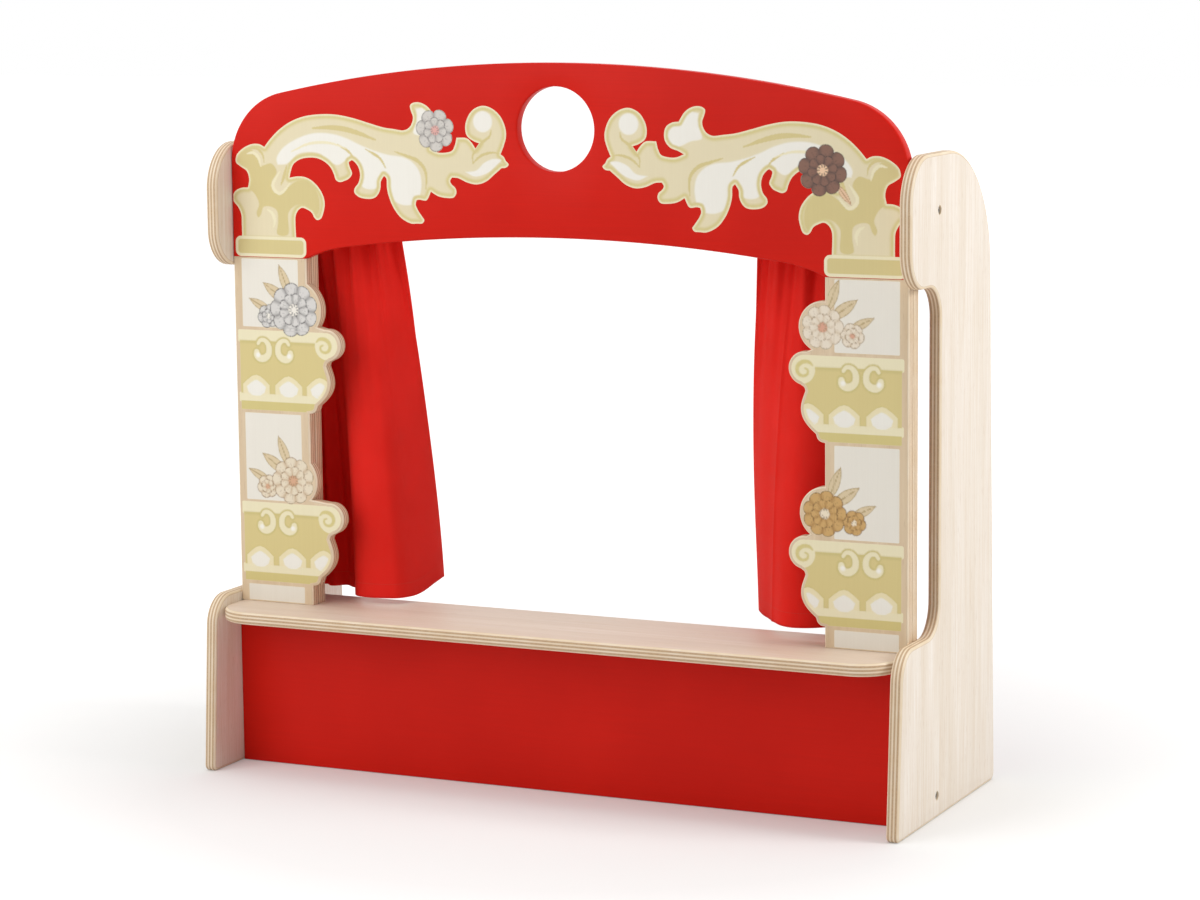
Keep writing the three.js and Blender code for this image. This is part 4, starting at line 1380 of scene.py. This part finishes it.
def column_outline(word):
    """Closed outline of a column on paper, from its outer edge inward and from the stage up."""
    balconies = [balcony_edge(foot, bloom) for foot, bloom in zip(BALCONY_FEET, BLOOMS[word])]
    above = COLUMN_HEIGHT + SAWN_OFF
    return np.vstack([[(0, -SAWN_OFF), (COLUMN_WIDTH, -SAWN_OFF)], *balconies,
                      [(COLUMN_WIDTH, above), (0, above)]])


print("contour of a column:", len(column_outline("left")), "points")

# %% [markdown]
# A balcony's bowl carries three scales, each with a heart in it, and a pair of
# hooks that turn away from each other. A lip closes the bowl below and a ledge
# above, and the scroll at its side ends in a spiral. Shapes with two equal
# halves are drawn once, to the right of their middle, and mirrored.

# %% Shapes of a balcony


SCALE = [(15.1, 15), (15.1, 26.6), (10, 31.2), (4.6, 35), (0, 36.3)]
SCALE_HEART = [(0, 15.4), (4.5, 15.9), (9.2, 18.8), (10.9, 24.4), (6, 28.5), (1.4, 31), (0, 31.2)]
SCALE_PLACES = (26.1, 62.8, 98.2)
HOOK = [(17.2, 67.6), (14.6, 70.9), (10.2, 71), (6.2, 67.3), (4.9, 61.8), (6.2, 56.6), (10.8, 53.1),
        (15.8, 53.2), (18.9, 56), (19, 59)]
HOOK_HALVES = [1.7, 1.9, 2.1, 2.6, 3.0, 3.1, 3.3, 3.5, 3.6, 3.4, 3.0]
HOOK_MIDDLE, HOOK_RIM, HOOK_EYE = 46.5, 1.7, (17.6, 56.2)
SPIRAL = [(11.9, 71.4), (15.2, 74.2), (20.8, 74.5), (25.6, 71.6), (27.1, 67.2), (25.2, 62.9), (20.9, 61.4),
          (17, 63.3), (16.6, 67), (19.2, 68.6)]
SPIRAL_HALVES = [0.8, 1.7, 2.0, 2.1, 1.9, 1.6, 1.4, 1.2, 0.9]
VOLUTE_EYE, VOLUTE_EYE_RADIUS = (22.8, 67.4), 13.4
LIP_LOW, LIP_HIGH, LEDGE_LOW, LEDGE_TOP = 10.3, 17.6, 69.9, 80.9


def both_halves(half, middle, foot):
    """A shape from its right half, set on a balcony."""
    whole = [*half, *((-x, y) for x, y in reversed(half) if x > 0)]
    return np.array([(middle + x, foot + y) for x, y in whole])


print("shapes of a balcony:", len(SCALE_PLACES), "scales, hooks of", len(HOOK), "points")

# %% [markdown]
# The print goes on in this order: the bars and the bowl, the scroll, the
# scales and their hearts, then the hooks and the spiral. The bars run past
# the contour, and the bare rim cuts them.

# %% Print of a balcony
PAST_CONTOUR = 130
LIP_INSET, BOWL_INSET = 0.4, 2.3


def balcony_print(foot, shift, start):
    """Silhouettes, layers and marks of one balcony's print."""
    def bar(inset, low, high, radius):
        left, end = start + inset, PAST_CONTOUR
        corners = [(left, low, radius), (end, low, 0.5), (end, high, 0.5), (left, high, radius)]
        return rounded([(x, foot + y, r) for x, y, r in corners], 0.6)

    def moved(points, turn=1, middle=0.0):
        return [(middle + shift + turn * x, foot + y) for x, y in points]

    ledge = bar(0, LEDGE_LOW - 1.5, LEDGE_TOP, 2.2)
    lip = bar(LIP_INSET, LIP_LOW - 1.2, LIP_HIGH + 1.2, 1.5)
    bowl = bar(BOWL_INSET, LIP_HIGH, LEDGE_LOW, 0.6)
    band = bar(BOWL_INSET, 1.5, LIP_LOW, 0.6)
    under_ledge = bar(BOWL_INSET, LEDGE_LOW - 2.3, LEDGE_LOW, 0.6)
    volute_x, volute_y = VOLUTE_EYE
    volute = circle((COLUMN_WIDTH + volute_x + shift * 0.45, foot + volute_y), VOLUTE_EYE_RADIUS)
    layers = [fill(band, "d5c682", 0.4), fill(bowl, "dac98a", 0.4), fill(under_ledge, "cfc080", 3.0),
              fill(volute, CREAM, 0.4)]
    scales = [both_halves(SCALE, middle + shift, foot) for middle in SCALE_PLACES]
    layers += [fill(moved_in(turned_left(scale), -0.8), "d3c483", 1.4) for scale in scales]
    layers += [fill(scale, "eee2b8", 0.5) for scale in scales]
    layers.append(fill(bar(LIP_INSET, LIP_LOW, LIP_HIGH, 0.6), CREAM, 0.8))
    hearts = [both_halves(SCALE_HEART, middle + shift, foot) for middle in SCALE_PLACES]
    layers += [fill(heart, IVORY, 0.9, kept=2.6) for heart in hearts]
    marks = [band, bowl, volute, *scales, *hearts]
    for turn in (1, -1):
        line = moved(HOOK, turn, HOOK_MIDDLE)
        around = ribbon(line, [half + HOOK_RIM for half in HOOK_HALVES])
        hook = ribbon(line, HOOK_HALVES)
        eye = circle(moved([HOOK_EYE], turn, HOOK_MIDDLE)[0], 2.4, 0.6)
        layers += [fill(around, "cfc07e", 1.2), fill(hook, CREAM, 0.5), fill(eye, "fbf8ee", 2.0)]
        marks.append(hook)
    spiral = ribbon([(COLUMN_WIDTH + shift * 0.7 + x, foot + y) for x, y in SPIRAL], SPIRAL_HALVES)
    layers.append(fill(spiral, "d8ca88", 0.8))
    marks.append(spiral)
    return [ledge, lip, bowl, band, volute], layers, marks


print("print of a balcony:", len(balcony_print(0, 0, 0)[1]), "layers of ink")

# %% [markdown]
# A column's picture is made of three plain fields and two balconies, each with
# its flower: leaves and a bud lie beside the head, and the head fills the
# round part of the contour, less the bare rim.

# %% Picture of a column
BARE_RIM = 3.2
PRINT_SHIFTS = {"left": -3.5, "right": 0.0}
PRINT_STARTS = {"left": 2.8, "right": 4.6}
FIELD_LEFT, FIELD_RIGHT = 9, 72.5
FIELD_HEIGHTS = ((1.2, 17.5), (102.5, 189.5), (275, 342.3))
BLOOM_INKS = {
    "left": (("e9dcc4", "c9ae8a", "9c7c58", "d6a886"), ("d9d6d2", "8d8a88", "4e4a49", "f1ece2")),
    "right": (("cda566", "a87c40", "7a5828", "f0e2c8"), ("ece0cd", "d6c3a6", "a88e6c", "dba48a")),
}
BUD_PLACE, BUD_RADIUS = (-29, -7), 12
BLADES = (((-8, 8), (-34, 26), 9), ((-26, -2), (-50, 10), 7), ((-4, 14), (-16, 44), 8))


def clean_room(outline, rim):
    """The outline moved in by the bare rim, without the loops that tight corners leave."""
    moved = moved_in(outline, rim)
    return moved[distance_to(outline, moved, closed=True) > rim - 0.05]


def column_picture(word, side):
    room = clean_room(turned_left(thinned(column_outline(word))), BARE_RIM)
    fields = [rectangle(FIELD_LEFT, low, FIELD_RIGHT, high, 1) for low, high in FIELD_HEIGHTS]
    silhouettes, layers, marks = [*fields], [fill(field, "ede8dc") for field in fields], []
    for foot, bloom, inks in zip(BALCONY_FEET, BLOOMS[word], BLOOM_INKS[word]):
        shapes, parts, lines = balcony_print(foot, PRINT_SHIFTS[word], PRINT_STARTS[word])
        reach, height, radius = bloom
        centre = np.array([reach, foot + height], float)
        leaves = [(centre + start, centre + tip, width) for start, tip, width in BLADES]
        bud = (centre + BUD_PLACE, BUD_RADIUS, 6)
        head = (centre, radius - BARE_RIM, 9)
        silhouettes += [*shapes, flower_loop(*head, 0.3, 0.14), *(leaf_loop(*blade) for blade in leaves),
                        flower_loop(*bud, 0.2, 0.16)]
        layers += [*parts, *(leaf(*blade, "dcc9a4", "b39a6d") for blade in leaves),
                   flower(*bud, inks, 0.2, 0.16), flower(*head, inks, 0.3, 0.14, rows=3)]
        marks += lines
    return Picture(side, SHELF_TOP, silhouettes, layers, marks, spacing=1.3, room=room)


print("pictures of the columns:", BUD_RADIUS, "mm buds,", BARE_RIM, "mm of bare rim")

# %% [markdown]
# The columns are a little shorter and thinner than the space they have, so
# that they slip in between the stage and the arch.

# %% Column boards
SLIP = 0.2

for word, side in SIDES.items():
    drawn = column_outline(word)
    outline = np.column_stack([side * (BOARD_HALF - drawn[:, 0]), SHELF_TOP + drawn[:, 1]])
    column = make_board(f"column_{word}", outline, facing_front(COLUMN_FRONT),
                        [BIRCH_CONTOUR, PLY_EDGE, INK], thickness=PLY - SLIP,
                        clamp=(SHELF_TOP + SLIP, FEET - SLIP), art=Art([column_picture(word, side)]))
    place_piece(column, [f"column_board_{word}"])
print("column:", len(column.data.polygons), "faces")

# %% [markdown]
# ## Posts behind the columns
#
# A plain post stands behind each column board and reaches up behind the arch.
# It is screwed to both from behind, with the screw heads sunk flush.

# %% Posts
SINK = (3.75, 2.0, 1.9)
SCREW_REACHES = (26, 60)
ARCH_SCREW_HEIGHT, BOARD_SCREW_HEIGHT = FEET + 22, SHELF_TOP + 60

for word, side in SIDES.items():
    (low_x, high_x), (low_z, high_z) = span(f"column_post_{word}", X), span(f"column_post_{word}", Z)
    front_y, back_y = span(f"column_post_{word}", Y)
    pits = [((side * (BOARD_HALF - reach), height), *SINK)
            for reach in SCREW_REACHES for height in (ARCH_SCREW_HEIGHT, BOARD_SCREW_HEIGHT)]
    post = make_board(f"post_{word}", rectangle(low_x, low_z, high_x, high_z), facing_front(front_y),
                      [BIRCH_UPRIGHT, PLY_EDGE], thickness=back_y - front_y, rounding=SOFT_EDGE,
                      back_pits=pits)
    place_piece(post, [f"column_post_{word}"])
print("posts:", len(SIDES), "with", len(pits), "sunk holes each")

# %% [markdown]
# ## Turned pieces: rods and screws
#
# What a lathe makes is a stack of rings round one axis. The same helper turns
# the rods and the screws. A ring is a circle's radius, or a reach that depends
# on the angle: a hexagon for a key socket, a cross for a screwdriver.

# %% Turned pieces
SIDES_ROUND = 72


def hexagon_ring(radius):
    return lambda angle: radius * math.cos(math.pi / 6) / math.cos((angle % (math.pi / 3)) - math.pi / 6)


def cross_ring(reach, half):
    """A plus sign: arms that reach out, each two halves wide."""
    def ring(angle):
        turn = abs((angle + math.pi / 4) % (math.pi / 2) - math.pi / 4)
        return min(reach / math.cos(turn), half / math.sin(turn) if turn > 1e-6 else reach)
    return ring


def turn_piece(name, rings, origin, axis, material):
    """A piece from rings given as (ring, height), along an axis from an origin, both in mm."""
    axis = Vector(axis).normalized()
    first = axis.orthogonal().normalized()
    second = axis.cross(first)
    vertices, faces = [], []
    for ring, height in rings:
        for i in range(SIDES_ROUND):
            angle = 2 * math.pi * i / SIDES_ROUND
            reach = ring(angle) if callable(ring) else ring
            spot = (first * math.cos(angle) + second * math.sin(angle)) * reach + axis * height
            vertices.append((Vector(origin) + spot) * MM)
    for level in range(len(rings) - 1):
        for i in range(SIDES_ROUND):
            j = (i + 1) % SIDES_ROUND
            low, high = level * SIDES_ROUND, (level + 1) * SIDES_ROUND
            faces.append((low + i, low + j, high + j, high + i))
    last = (len(rings) - 1) * SIDES_ROUND
    faces += [tuple(range(SIDES_ROUND))[::-1], tuple(range(last, last + SIDES_ROUND))]
    mesh = bpy.data.meshes.new(name)
    mesh.from_pydata(vertices, [], faces)
    mesh.materials.append(material)
    mesh.polygons.foreach_set("use_smooth", [True] * len(faces))
    mesh.set_sharp_from_angle(angle=math.radians(35))
    return linked(name, mesh)


print("a turned ring has", SIDES_ROUND, "points")

# %% [markdown]
# The two rods are plain bars of beech with a small bevel at each end. They
# hold the side panels together, and the curtains hang on the upper one.

# %% Rods
BEVEL = 0.8
ROD_HEIGHTS = {"curtain_rod": ROD_Z, "stretcher_rod": STRETCHER_Z}
ROD_LENGTH = 2 * BOARD_HALF
rod_rings = [
    (ROD_RADIUS - BEVEL, 0), (ROD_RADIUS, BEVEL), (ROD_RADIUS, ROD_LENGTH - BEVEL),
    (ROD_RADIUS - BEVEL, ROD_LENGTH),
]

for node, height in ROD_HEIGHTS.items():
    origin = (-BOARD_HALF, ROD_Y, height)
    rod = turn_piece(node.replace("_rod", "_bar"), rod_rings, origin, (1, 0, 0), BEECH)
    place_piece(rod, [node])
print("rods:", len(ROD_HEIGHTS), "of", ROD_LENGTH, "mm")

# %% [markdown]
# A rod's screw has a low round head with a six-sided socket, and it sits on
# the floor of its sunk hole.

# %% Screws of the rods
SEAT_DEPTH = 4.4
HEAD, SHANK = 4.2, 2.2
rod_screw_rings = [
    (SHANK, -8), (SHANK, 0.05), (HEAD - 0.3, 0.05), (HEAD, 0.35), (HEAD, 2.5), (HEAD - 0.2, 2.8),
    (HEAD - 0.5, 3.0), (2.2, 3.0), (hexagon_ring(1.9), 2.9), (hexagon_ring(1.75), 1.2),
    (hexagon_ring(0.2), 1.0),
]

for word, side in SIDES.items():
    for rod_name, height in ROD_HEIGHTS.items():
        node = f"{rod_name}_screw_{word}"
        origin = (side * (OUTER - SEAT_DEPTH), ROD_Y, height)
        screw = turn_piece(f"head_{node}", rod_screw_rings, origin, (side, 0, 0), STEEL)
        place_piece(screw, [node])
print("screws of the rods:", len(SIDES) * len(ROD_HEIGHTS))

# %% [markdown]
# A wood screw has a conical head with a cross, flush with the back of a post.

# %% Wood screws
HEAD, SHANK = 3.6, 1.75
wood_screw_rings = [
    (0.3, -19), (SHANK, -16), (SHANK, -2.2), (HEAD - 0.1, -0.4), (HEAD, -0.25), (HEAD - 0.2, -0.1),
    (cross_ring(2.2, 0.45), -0.1), (cross_ring(1.9, 0.38), -1.0), (cross_ring(0.4, 0.2), -1.5),
]
screw_back = span("column_post_left", Y)[1]
screw_heights = {"arch": ARCH_SCREW_HEIGHT, "column": BOARD_SCREW_HEIGHT}

for word, side in SIDES.items():
    for joint, height in screw_heights.items():
        for number, reach in enumerate(SCREW_REACHES, 1):
            node = f"{joint}_screw_{word}_{number}"
            origin = (side * (BOARD_HALF - reach), screw_back, height)
            screw = turn_piece(f"head_{node}", wood_screw_rings, origin, (0, 1, 0), STEEL)
            place_piece(screw, [node])
print("wood screws:", len(SIDES) * len(screw_heights) * len(SCREW_REACHES))

# %% [markdown]
# ## The curtains
#
# Each curtain is a sheet of cotton, 34 cm wide before it was gathered. Its
# top is folded over and sewn into a pocket that runs on the rod, its bottom
# and its two sides are hemmed. On the rod the cloth lies in many small
# gathers. Lower down these run together into a few large folds, so the plan
# of the hem is a slow curve. The surface is built in that way: a row of small
# gathers at the pocket, the drawn curve at the hem, and between the two a
# change that is quick at the top and slow below. Cloth doesn't shrink, so
# what a row of it has too much goes into tucks behind the column.

# %% Plan of the curtains
HEM_PLANS = {
    "left": [
        (-345, -26), (-341, -38), (-331, -44), (-319, -38), (-310, -21), (-302, -7), (-292, 1), (-279, 4),
        (-267, 4), (-258, -2), (-252, -15), (-248, -31), (-239, -42), (-222, -46), (-205, -45), (-195, -41),
        (-190, -33), (-187, -20), (-184, -5), (-182, 10), (-181, 22), (-182, 33),
    ],
    "right": [
        (331, -16), (327, -27), (320, -31), (313, -20), (305, 4), (296, 22), (283, 28), (270, 22), (258, 6),
        (246, -11), (234, -23), (220, -28), (207, -24), (195, -12), (184, 2), (174, 14), (165, 28),
        (158, 40), (154, 50),
    ],
}
HEM_RISE = {"left": 12, "right": 1.5}
EDGE_MARGINS = {"left": 8, "right": 22}
TOP_WIDTHS = {"left": 152, "right": 143}
CREASES = {"left": 0.80, "right": 0.75}
BELLIES = {"left": -4.0, "right": 9.0}


def evenly(line, count):
    """A line divided into equal steps."""
    run = walked(line)
    places = np.linspace(0, run[-1], count)
    return np.column_stack([np.interp(places, run, line[:, axis]) for axis in range(2)])


def eased(value, low, high):
    """A share that grows softly from 0 at the low value to 1 at the high one."""
    share = np.clip((value - low) / (high - low), 0, 1)
    return share * share * (3 - 2 * share)


for word, plan in HEM_PLANS.items():
    print(f"{word} hem, seen from above: {walked(flowing(plan, 0.5))[-1]:.0f} mm long")

# %% [markdown]
# The pocket is drawn in section, from its back stitch over the rod to its
# front stitch. Its length is the first part of the sheet's length, before the
# drop to the hem and the hem that is turned up.

# %% Pocket round the rod
ROD_CLEARANCE = 0.4
POCKET_RADIUS = 9.0
POCKET_MIDDLE = ROD_RADIUS + ROD_CLEARANCE - POCKET_RADIUS


def pocket_profile():
    """The pocket in section, from its back stitch over the rod to its front stitch: back and height."""
    over = arc((0, POCKET_MIDDLE), POCKET_RADIUS, math.radians(-38), math.radians(218), 1.4)
    back = flowing([(0.9, -POCKET_DROP), (2.5, -14), tuple(over[0])], 1.4)
    front = flowing([tuple(over[-1]), (-2.5, -14), (0, -POCKET_DROP)], 1.4)
    return np.vstack([back[:-1], over, front[1:-1]])


POCKET_LENGTH = float(walked(pocket_profile())[-1]) * MM

# %% [markdown]
# Across the sheet run small gathers with a tiny wave on top, and, behind the
# column, ten narrow tucks. How deep they must be is found by halving a range
# again and again, until a row of cloth is as long as the sheet is wide.

# %% Gathers
GATHERS = 6.5
MOST_GATHER = 8.0
TUCKS = 10
MOST_TUCK = 7.0
COLUMNS, ROWS = 260, 150
ACROSS = np.linspace(0, 1, COLUMNS + 1)
TURNS = 2 * math.pi * ACROSS
SMALL = np.cos(GATHERS * TURNS + 1.05 * np.sin(1.7 * TURNS + 0.6))
TINY = np.cos((2 * GATHERS + 3) * TURNS + 1.1)
TUCKED = (1 - np.cos(TUCKS * TURNS)) * (1 - eased(ACROSS, 0.3, 0.4))


def gather_depth(x, y, wave, most):
    """How deep the gathers must be, up to a limit, for a row of cloth to keep its whole width."""
    low, high = 0.0, most
    for _ in range(14):
        middle = (low + high) / 2
        length = np.hypot(np.diff(x), np.diff(y + middle * wave)).sum()
        low, high = (middle, high) if length < CLOTH_WIDTH / MM else (low, middle)
    return low


print("gathers:", GATHERS, "and", TUCKS, "tucks in", COLUMNS, "steps")

# %% [markdown]
# The rows of the surface come in two parts. The pocket's rows follow its
# section and swell a little at each gather. The rows below it go from the
# line of the rod to the drawn plan, and get slow and fine waves, one crease
# that runs down, and a hem that hangs a little uneven.

# %% Rows of the cloth
def pocket_rows(top_x):
    """Rows of places round the rod, each with how far down the flat sheet it lies."""
    profile = pocket_profile()
    run = walked(profile)
    for (back, up), length in zip(profile, run - run[-1]):
        outward = np.array([back, up - POCKET_MIDDLE])
        outward /= np.linalg.norm(outward) + 1e-6
        swell = np.maximum(0, 1.1 * SMALL + 0.6 * TINY) * min(1, (up + POCKET_DROP) / 10)
        yield (np.column_stack([top_x, ROD_Y + back + swell * outward[0], ROD_Z + up + swell * outward[1]]),
               (length - 1.4) * MM)


def hanging_row(word, side, top_x, hem, down):
    """A row of places below the pocket; down goes from 0 at the stitches to 1 at the hem."""
    x = top_x + (hem[:, 0] - top_x) * (math.sin(down * math.pi / 2) + down) / 2
    x -= side * BELLIES[word] * math.sin(down * math.pi) * eased(ACROSS, 0.6, 1)
    y = ROD_Y + (hem[:, 1] - ROD_Y) * (1 - (1 - down) ** 1.8)
    gathered = SMALL + 0.25 * TINY
    y += gather_depth(x, y, gathered, MOST_GATHER * (1 - down) ** 5 * eased(down, -0.04, 0.06)) * gathered
    y += gather_depth(x, y, TUCKED, MOST_TUCK) * TUCKED
    slow = np.sin(3.3 * TURNS + 2.6 * down + 0.7) * eased(down, 0.05, 0.35)
    fine = np.sin(7.4 * TURNS - 1.9 * down + 2.0) * eased(down, 0.1, 0.3)
    y += 1.3 * slow * (1 - 0.55 * down) + 0.45 * fine * (1 - 0.4 * down)
    crease = np.exp(-np.abs(ACROSS - CREASES[word] - 0.01 * down) / 0.009)
    y -= 1.8 * crease * eased(down, 0.12, 0.3)
    sag = np.sin(1.5 * TURNS + 1.0) + 1.0 + HEM_RISE[word] * eased(ACROSS, 0.8, 1)
    return np.column_stack([x, y, ROD_Z - POCKET_DROP - down * DROP / MM + sag * eased(down, 0.3, 1)])


def cloth_surface(word, side):
    """Grid of places in the cloth, in mm, and of the same places in the flat sheet, in metres."""
    top_x = side * (INNER - EDGE_MARGINS[word] - TOP_WIDTHS[word] * ACROSS)
    hem = evenly(flowing(HEM_PLANS[word], 0.5), COLUMNS + 1)
    downs = np.linspace(0, 1, ROWS + 1)
    hanging = [(hanging_row(word, side, top_x, hem, down), down * DROP) for down in downs]
    rows, lengths = zip(*pocket_rows(top_x), *hanging)
    return np.array(rows), np.stack(np.meshgrid(ACROSS * CLOTH_WIDTH, lengths), -1)


print("rows of the cloth:", len(pocket_profile()), "round the rod and", ROWS + 1, "below")

# %% [markdown]
# The visible cloth lies on both sides of that surface, thicker where an edge
# is folded. Each vertex stores its place in the flat sheet, which the weave
# and the stitches are drawn from.

# %% A curtain's mesh
CLOTH_THICKNESS = 0.9
FOLD_THICKENING = 1.6


def make_curtain(word, side):
    surface, flat = cloth_surface(word, side)
    normal = np.cross(np.gradient(surface, axis=1), np.gradient(surface, axis=0)) * side
    normal /= np.linalg.norm(normal, axis=2)[..., None]
    sideways, downward = flat[..., 0], flat[..., 1]
    folded = (sideways < SIDE_FOLD) | (sideways > CLOTH_WIDTH - SIDE_FOLD) | (downward > DROP - HEM_FOLD)
    half = (np.where(folded, FOLD_THICKENING, 1.0) * CLOTH_THICKNESS / 2)[..., None]
    both = np.stack([surface + normal * half, surface - normal * half])
    height, width = surface.shape[:2]
    number = np.arange(height * width).reshape(height, width)
    corners = [number[:-1, :-1], number[:-1, 1:], number[1:, 1:], number[1:, :-1]]
    quads = np.stack(corners, -1).reshape(-1, 4)
    rim = np.concatenate([number[0], number[1:, -1], number[-1, -2::-1], number[-2:0:-1, 0]])
    ahead, behind = np.roll(rim, -1), height * width
    around = np.stack([ahead, rim, rim + behind, ahead + behind], -1)
    faces = np.vstack([quads, quads[:, ::-1] + behind, around])
    mesh = bpy.data.meshes.new(f"curtain_{word}")
    mesh.from_pydata((both.reshape(-1, 3) * MM).tolist(), [], faces.tolist())
    mesh.materials.append(red_cotton(f"red cotton, {word}"))
    mesh.polygons.foreach_set("use_smooth", [True] * len(faces))
    stored = np.zeros((2 * behind, 3))
    stored[:, :2] = np.vstack([flat.reshape(-1, 2)] * 2)
    kept_places = mesh.attributes.new("cloth_place", "FLOAT_VECTOR", "POINT").data
    kept_places.foreach_set("vector", stored.reshape(-1))
    faced_outward(mesh)
    return linked(f"cloth_{word}", mesh)


print(f"cloth {CLOTH_THICKNESS} mm thick, {CLOTH_THICKNESS * FOLD_THICKENING:.2f} mm where it is folded")

# %% [markdown]
# Each curtain is built, its construction node is hidden, and its place is baked into its mesh.

# %% Curtains
for word, side in SIDES.items():
    cloth = make_curtain(word, side)
    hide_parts(f"curtain_{word}")
    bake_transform(cloth)
    print(f"{word} curtain:", len(cloth.data.polygons), "faces")

# %% [markdown]
# ## Pieces that nobody sees
#
# The dowels sit inside the boards, so their plain construction meshes stay,
# in beech. Everything else of the frame has a material too, in case a piece
# is looked at alone.

# %% Materials of the frame's own pieces
FRAME_MATERIALS = {
    "birch_plywood": BIRCH_UPRIGHT, "red_paint": RED_PAINT, "printed_birch": BIRCH_CONTOUR, "beech": BEECH,
    "steel": STEEL, "red_cotton": red_cotton("red cotton of the frame"),
}


def frame_slot(name):
    if "dowel" in name or name.endswith("_rod"):
        return "beech"
    if "screw" in name:
        return "steel"
    if name.startswith("curtain_"):
        return "red_cotton"
    if name.startswith("column_board"):
        return "printed_birch"
    return "red_paint" if name in ("arch_panel", "front_panel") else "birch_plywood"


for name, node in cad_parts.items():
    node.data.materials.clear()
    node.data.materials.append(FRAME_MATERIALS[frame_slot(name)])
print("nodes of the frame with a material:", len(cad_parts))

# %% [markdown]
# ## Floor and light
#
# The theatre stands on a pale floor in soft light from above and from the
# front, as in a plain photo studio. Beyond the floor the
# camera sees white, as do rays that a piece mirrors or lets through.
# One wide lamp stands in front on the left, so the front grows darker to the
# right. Another stands on the right and lights the outer face of that side
# panel. The red front throws a faint warm tone on the floor.

# %% Floor and sky
FLOOR_HALF = 14.0
GLOW_START, GLOW_END, NEAR_GLOW, FAR_GLOW = 0.42, 1.1, 0.15, 0.55
SKY_LIGHT = 0.38


def background_rays(tree):
    """1 for rays that show the background: straight from the camera, mirrored, or through glass."""
    rays = put(tree, "ShaderNodeLightPath").outputs
    shown = calc(tree, "ADD", rays["Is Camera Ray"], rays["Is Glossy Ray"])
    return calc(tree, "MINIMUM", calc(tree, "ADD", shown, rays["Is Transmission Ray"]), 1)


def pale_floor():
    material, tree, shader = new_material("pale studio floor")
    place = object_place(tree)
    cloud = noise(tree, place, 2.5, 2)["Fac"]
    away = put(tree, "ShaderNodeVectorMath", {0: place}, operation="LENGTH").outputs["Value"]
    glow = ranged(tree, away, GLOW_START, GLOW_END, NEAR_GLOW, FAR_GLOW)
    feed(tree, shader, Base_Color=blended(tree, cloud, tint("dddcdb"), tint("e0dfde")), Roughness=0.85,
         Specular_IOR_Level=0.1, Emission_Color=tint("ffffff"),
         Emission_Strength=calc(tree, "MULTIPLY", background_rays(tree), glow))
    return material


floor_mesh = bpy.data.meshes.new("floor")
floor_corners = rectangle(-FLOOR_HALF, -FLOOR_HALF, FLOOR_HALF, FLOOR_HALF)
floor_mesh.from_pydata([(x, y, 0) for x, y in floor_corners], [], [(0, 1, 2, 3)])
floor_mesh.materials.append(pale_floor())
floor = linked("floor", floor_mesh)

world = bpy.data.worlds.new("studio")
bpy.context.scene.world = world
world.use_nodes = True
sky = world.node_tree
feed(sky, sky.nodes["Background"], Color=tint("ffffff"),
     Strength=calc(sky, "MULTIPLY_ADD", background_rays(sky), 1 - SKY_LIGHT, SKY_LIGHT))
print("floor", 2 * FLOOR_HALF, "m wide, sky", SKY_LIGHT)

# %% [markdown]
# A wide sun makes the shadows soft. The lamps are given by their place, what
# they shine at, their size and their watts.

# %% Lamps
SUN_POWER, SUN_ANGLE, SUN_PLACE = 1.1, math.radians(50), (0, 0.3, 3)
LAMPS = {
    "key": ((-0.85, -1.35, 1.2), (0, 0, 0.4), 1.5, 14.9),
    "side": ((2.2, 0.2, 1.3), (0.36, 0, 0.45), 0.9, 23),
}


def aimed(light, source, target):
    """A light object that shines from a source to a target."""
    made = linked(light.name, light)
    made.location = source
    made.rotation_euler = (Vector(target) - Vector(source)).to_track_quat("-Z", "Y").to_euler()


sun = bpy.data.lights.new("sun", "SUN")
sun.energy, sun.angle = SUN_POWER, SUN_ANGLE
aimed(sun, SUN_PLACE, (0, 0, 0))
for lamp, (place, target, size, watts) in LAMPS.items():
    light = bpy.data.lights.new(lamp, "AREA")
    light.size, light.energy = size, watts
    aimed(light, place, target)
bpy.context.scene.view_settings.view_transform = "Standard"
print("a sun and", len(LAMPS), "lamps")
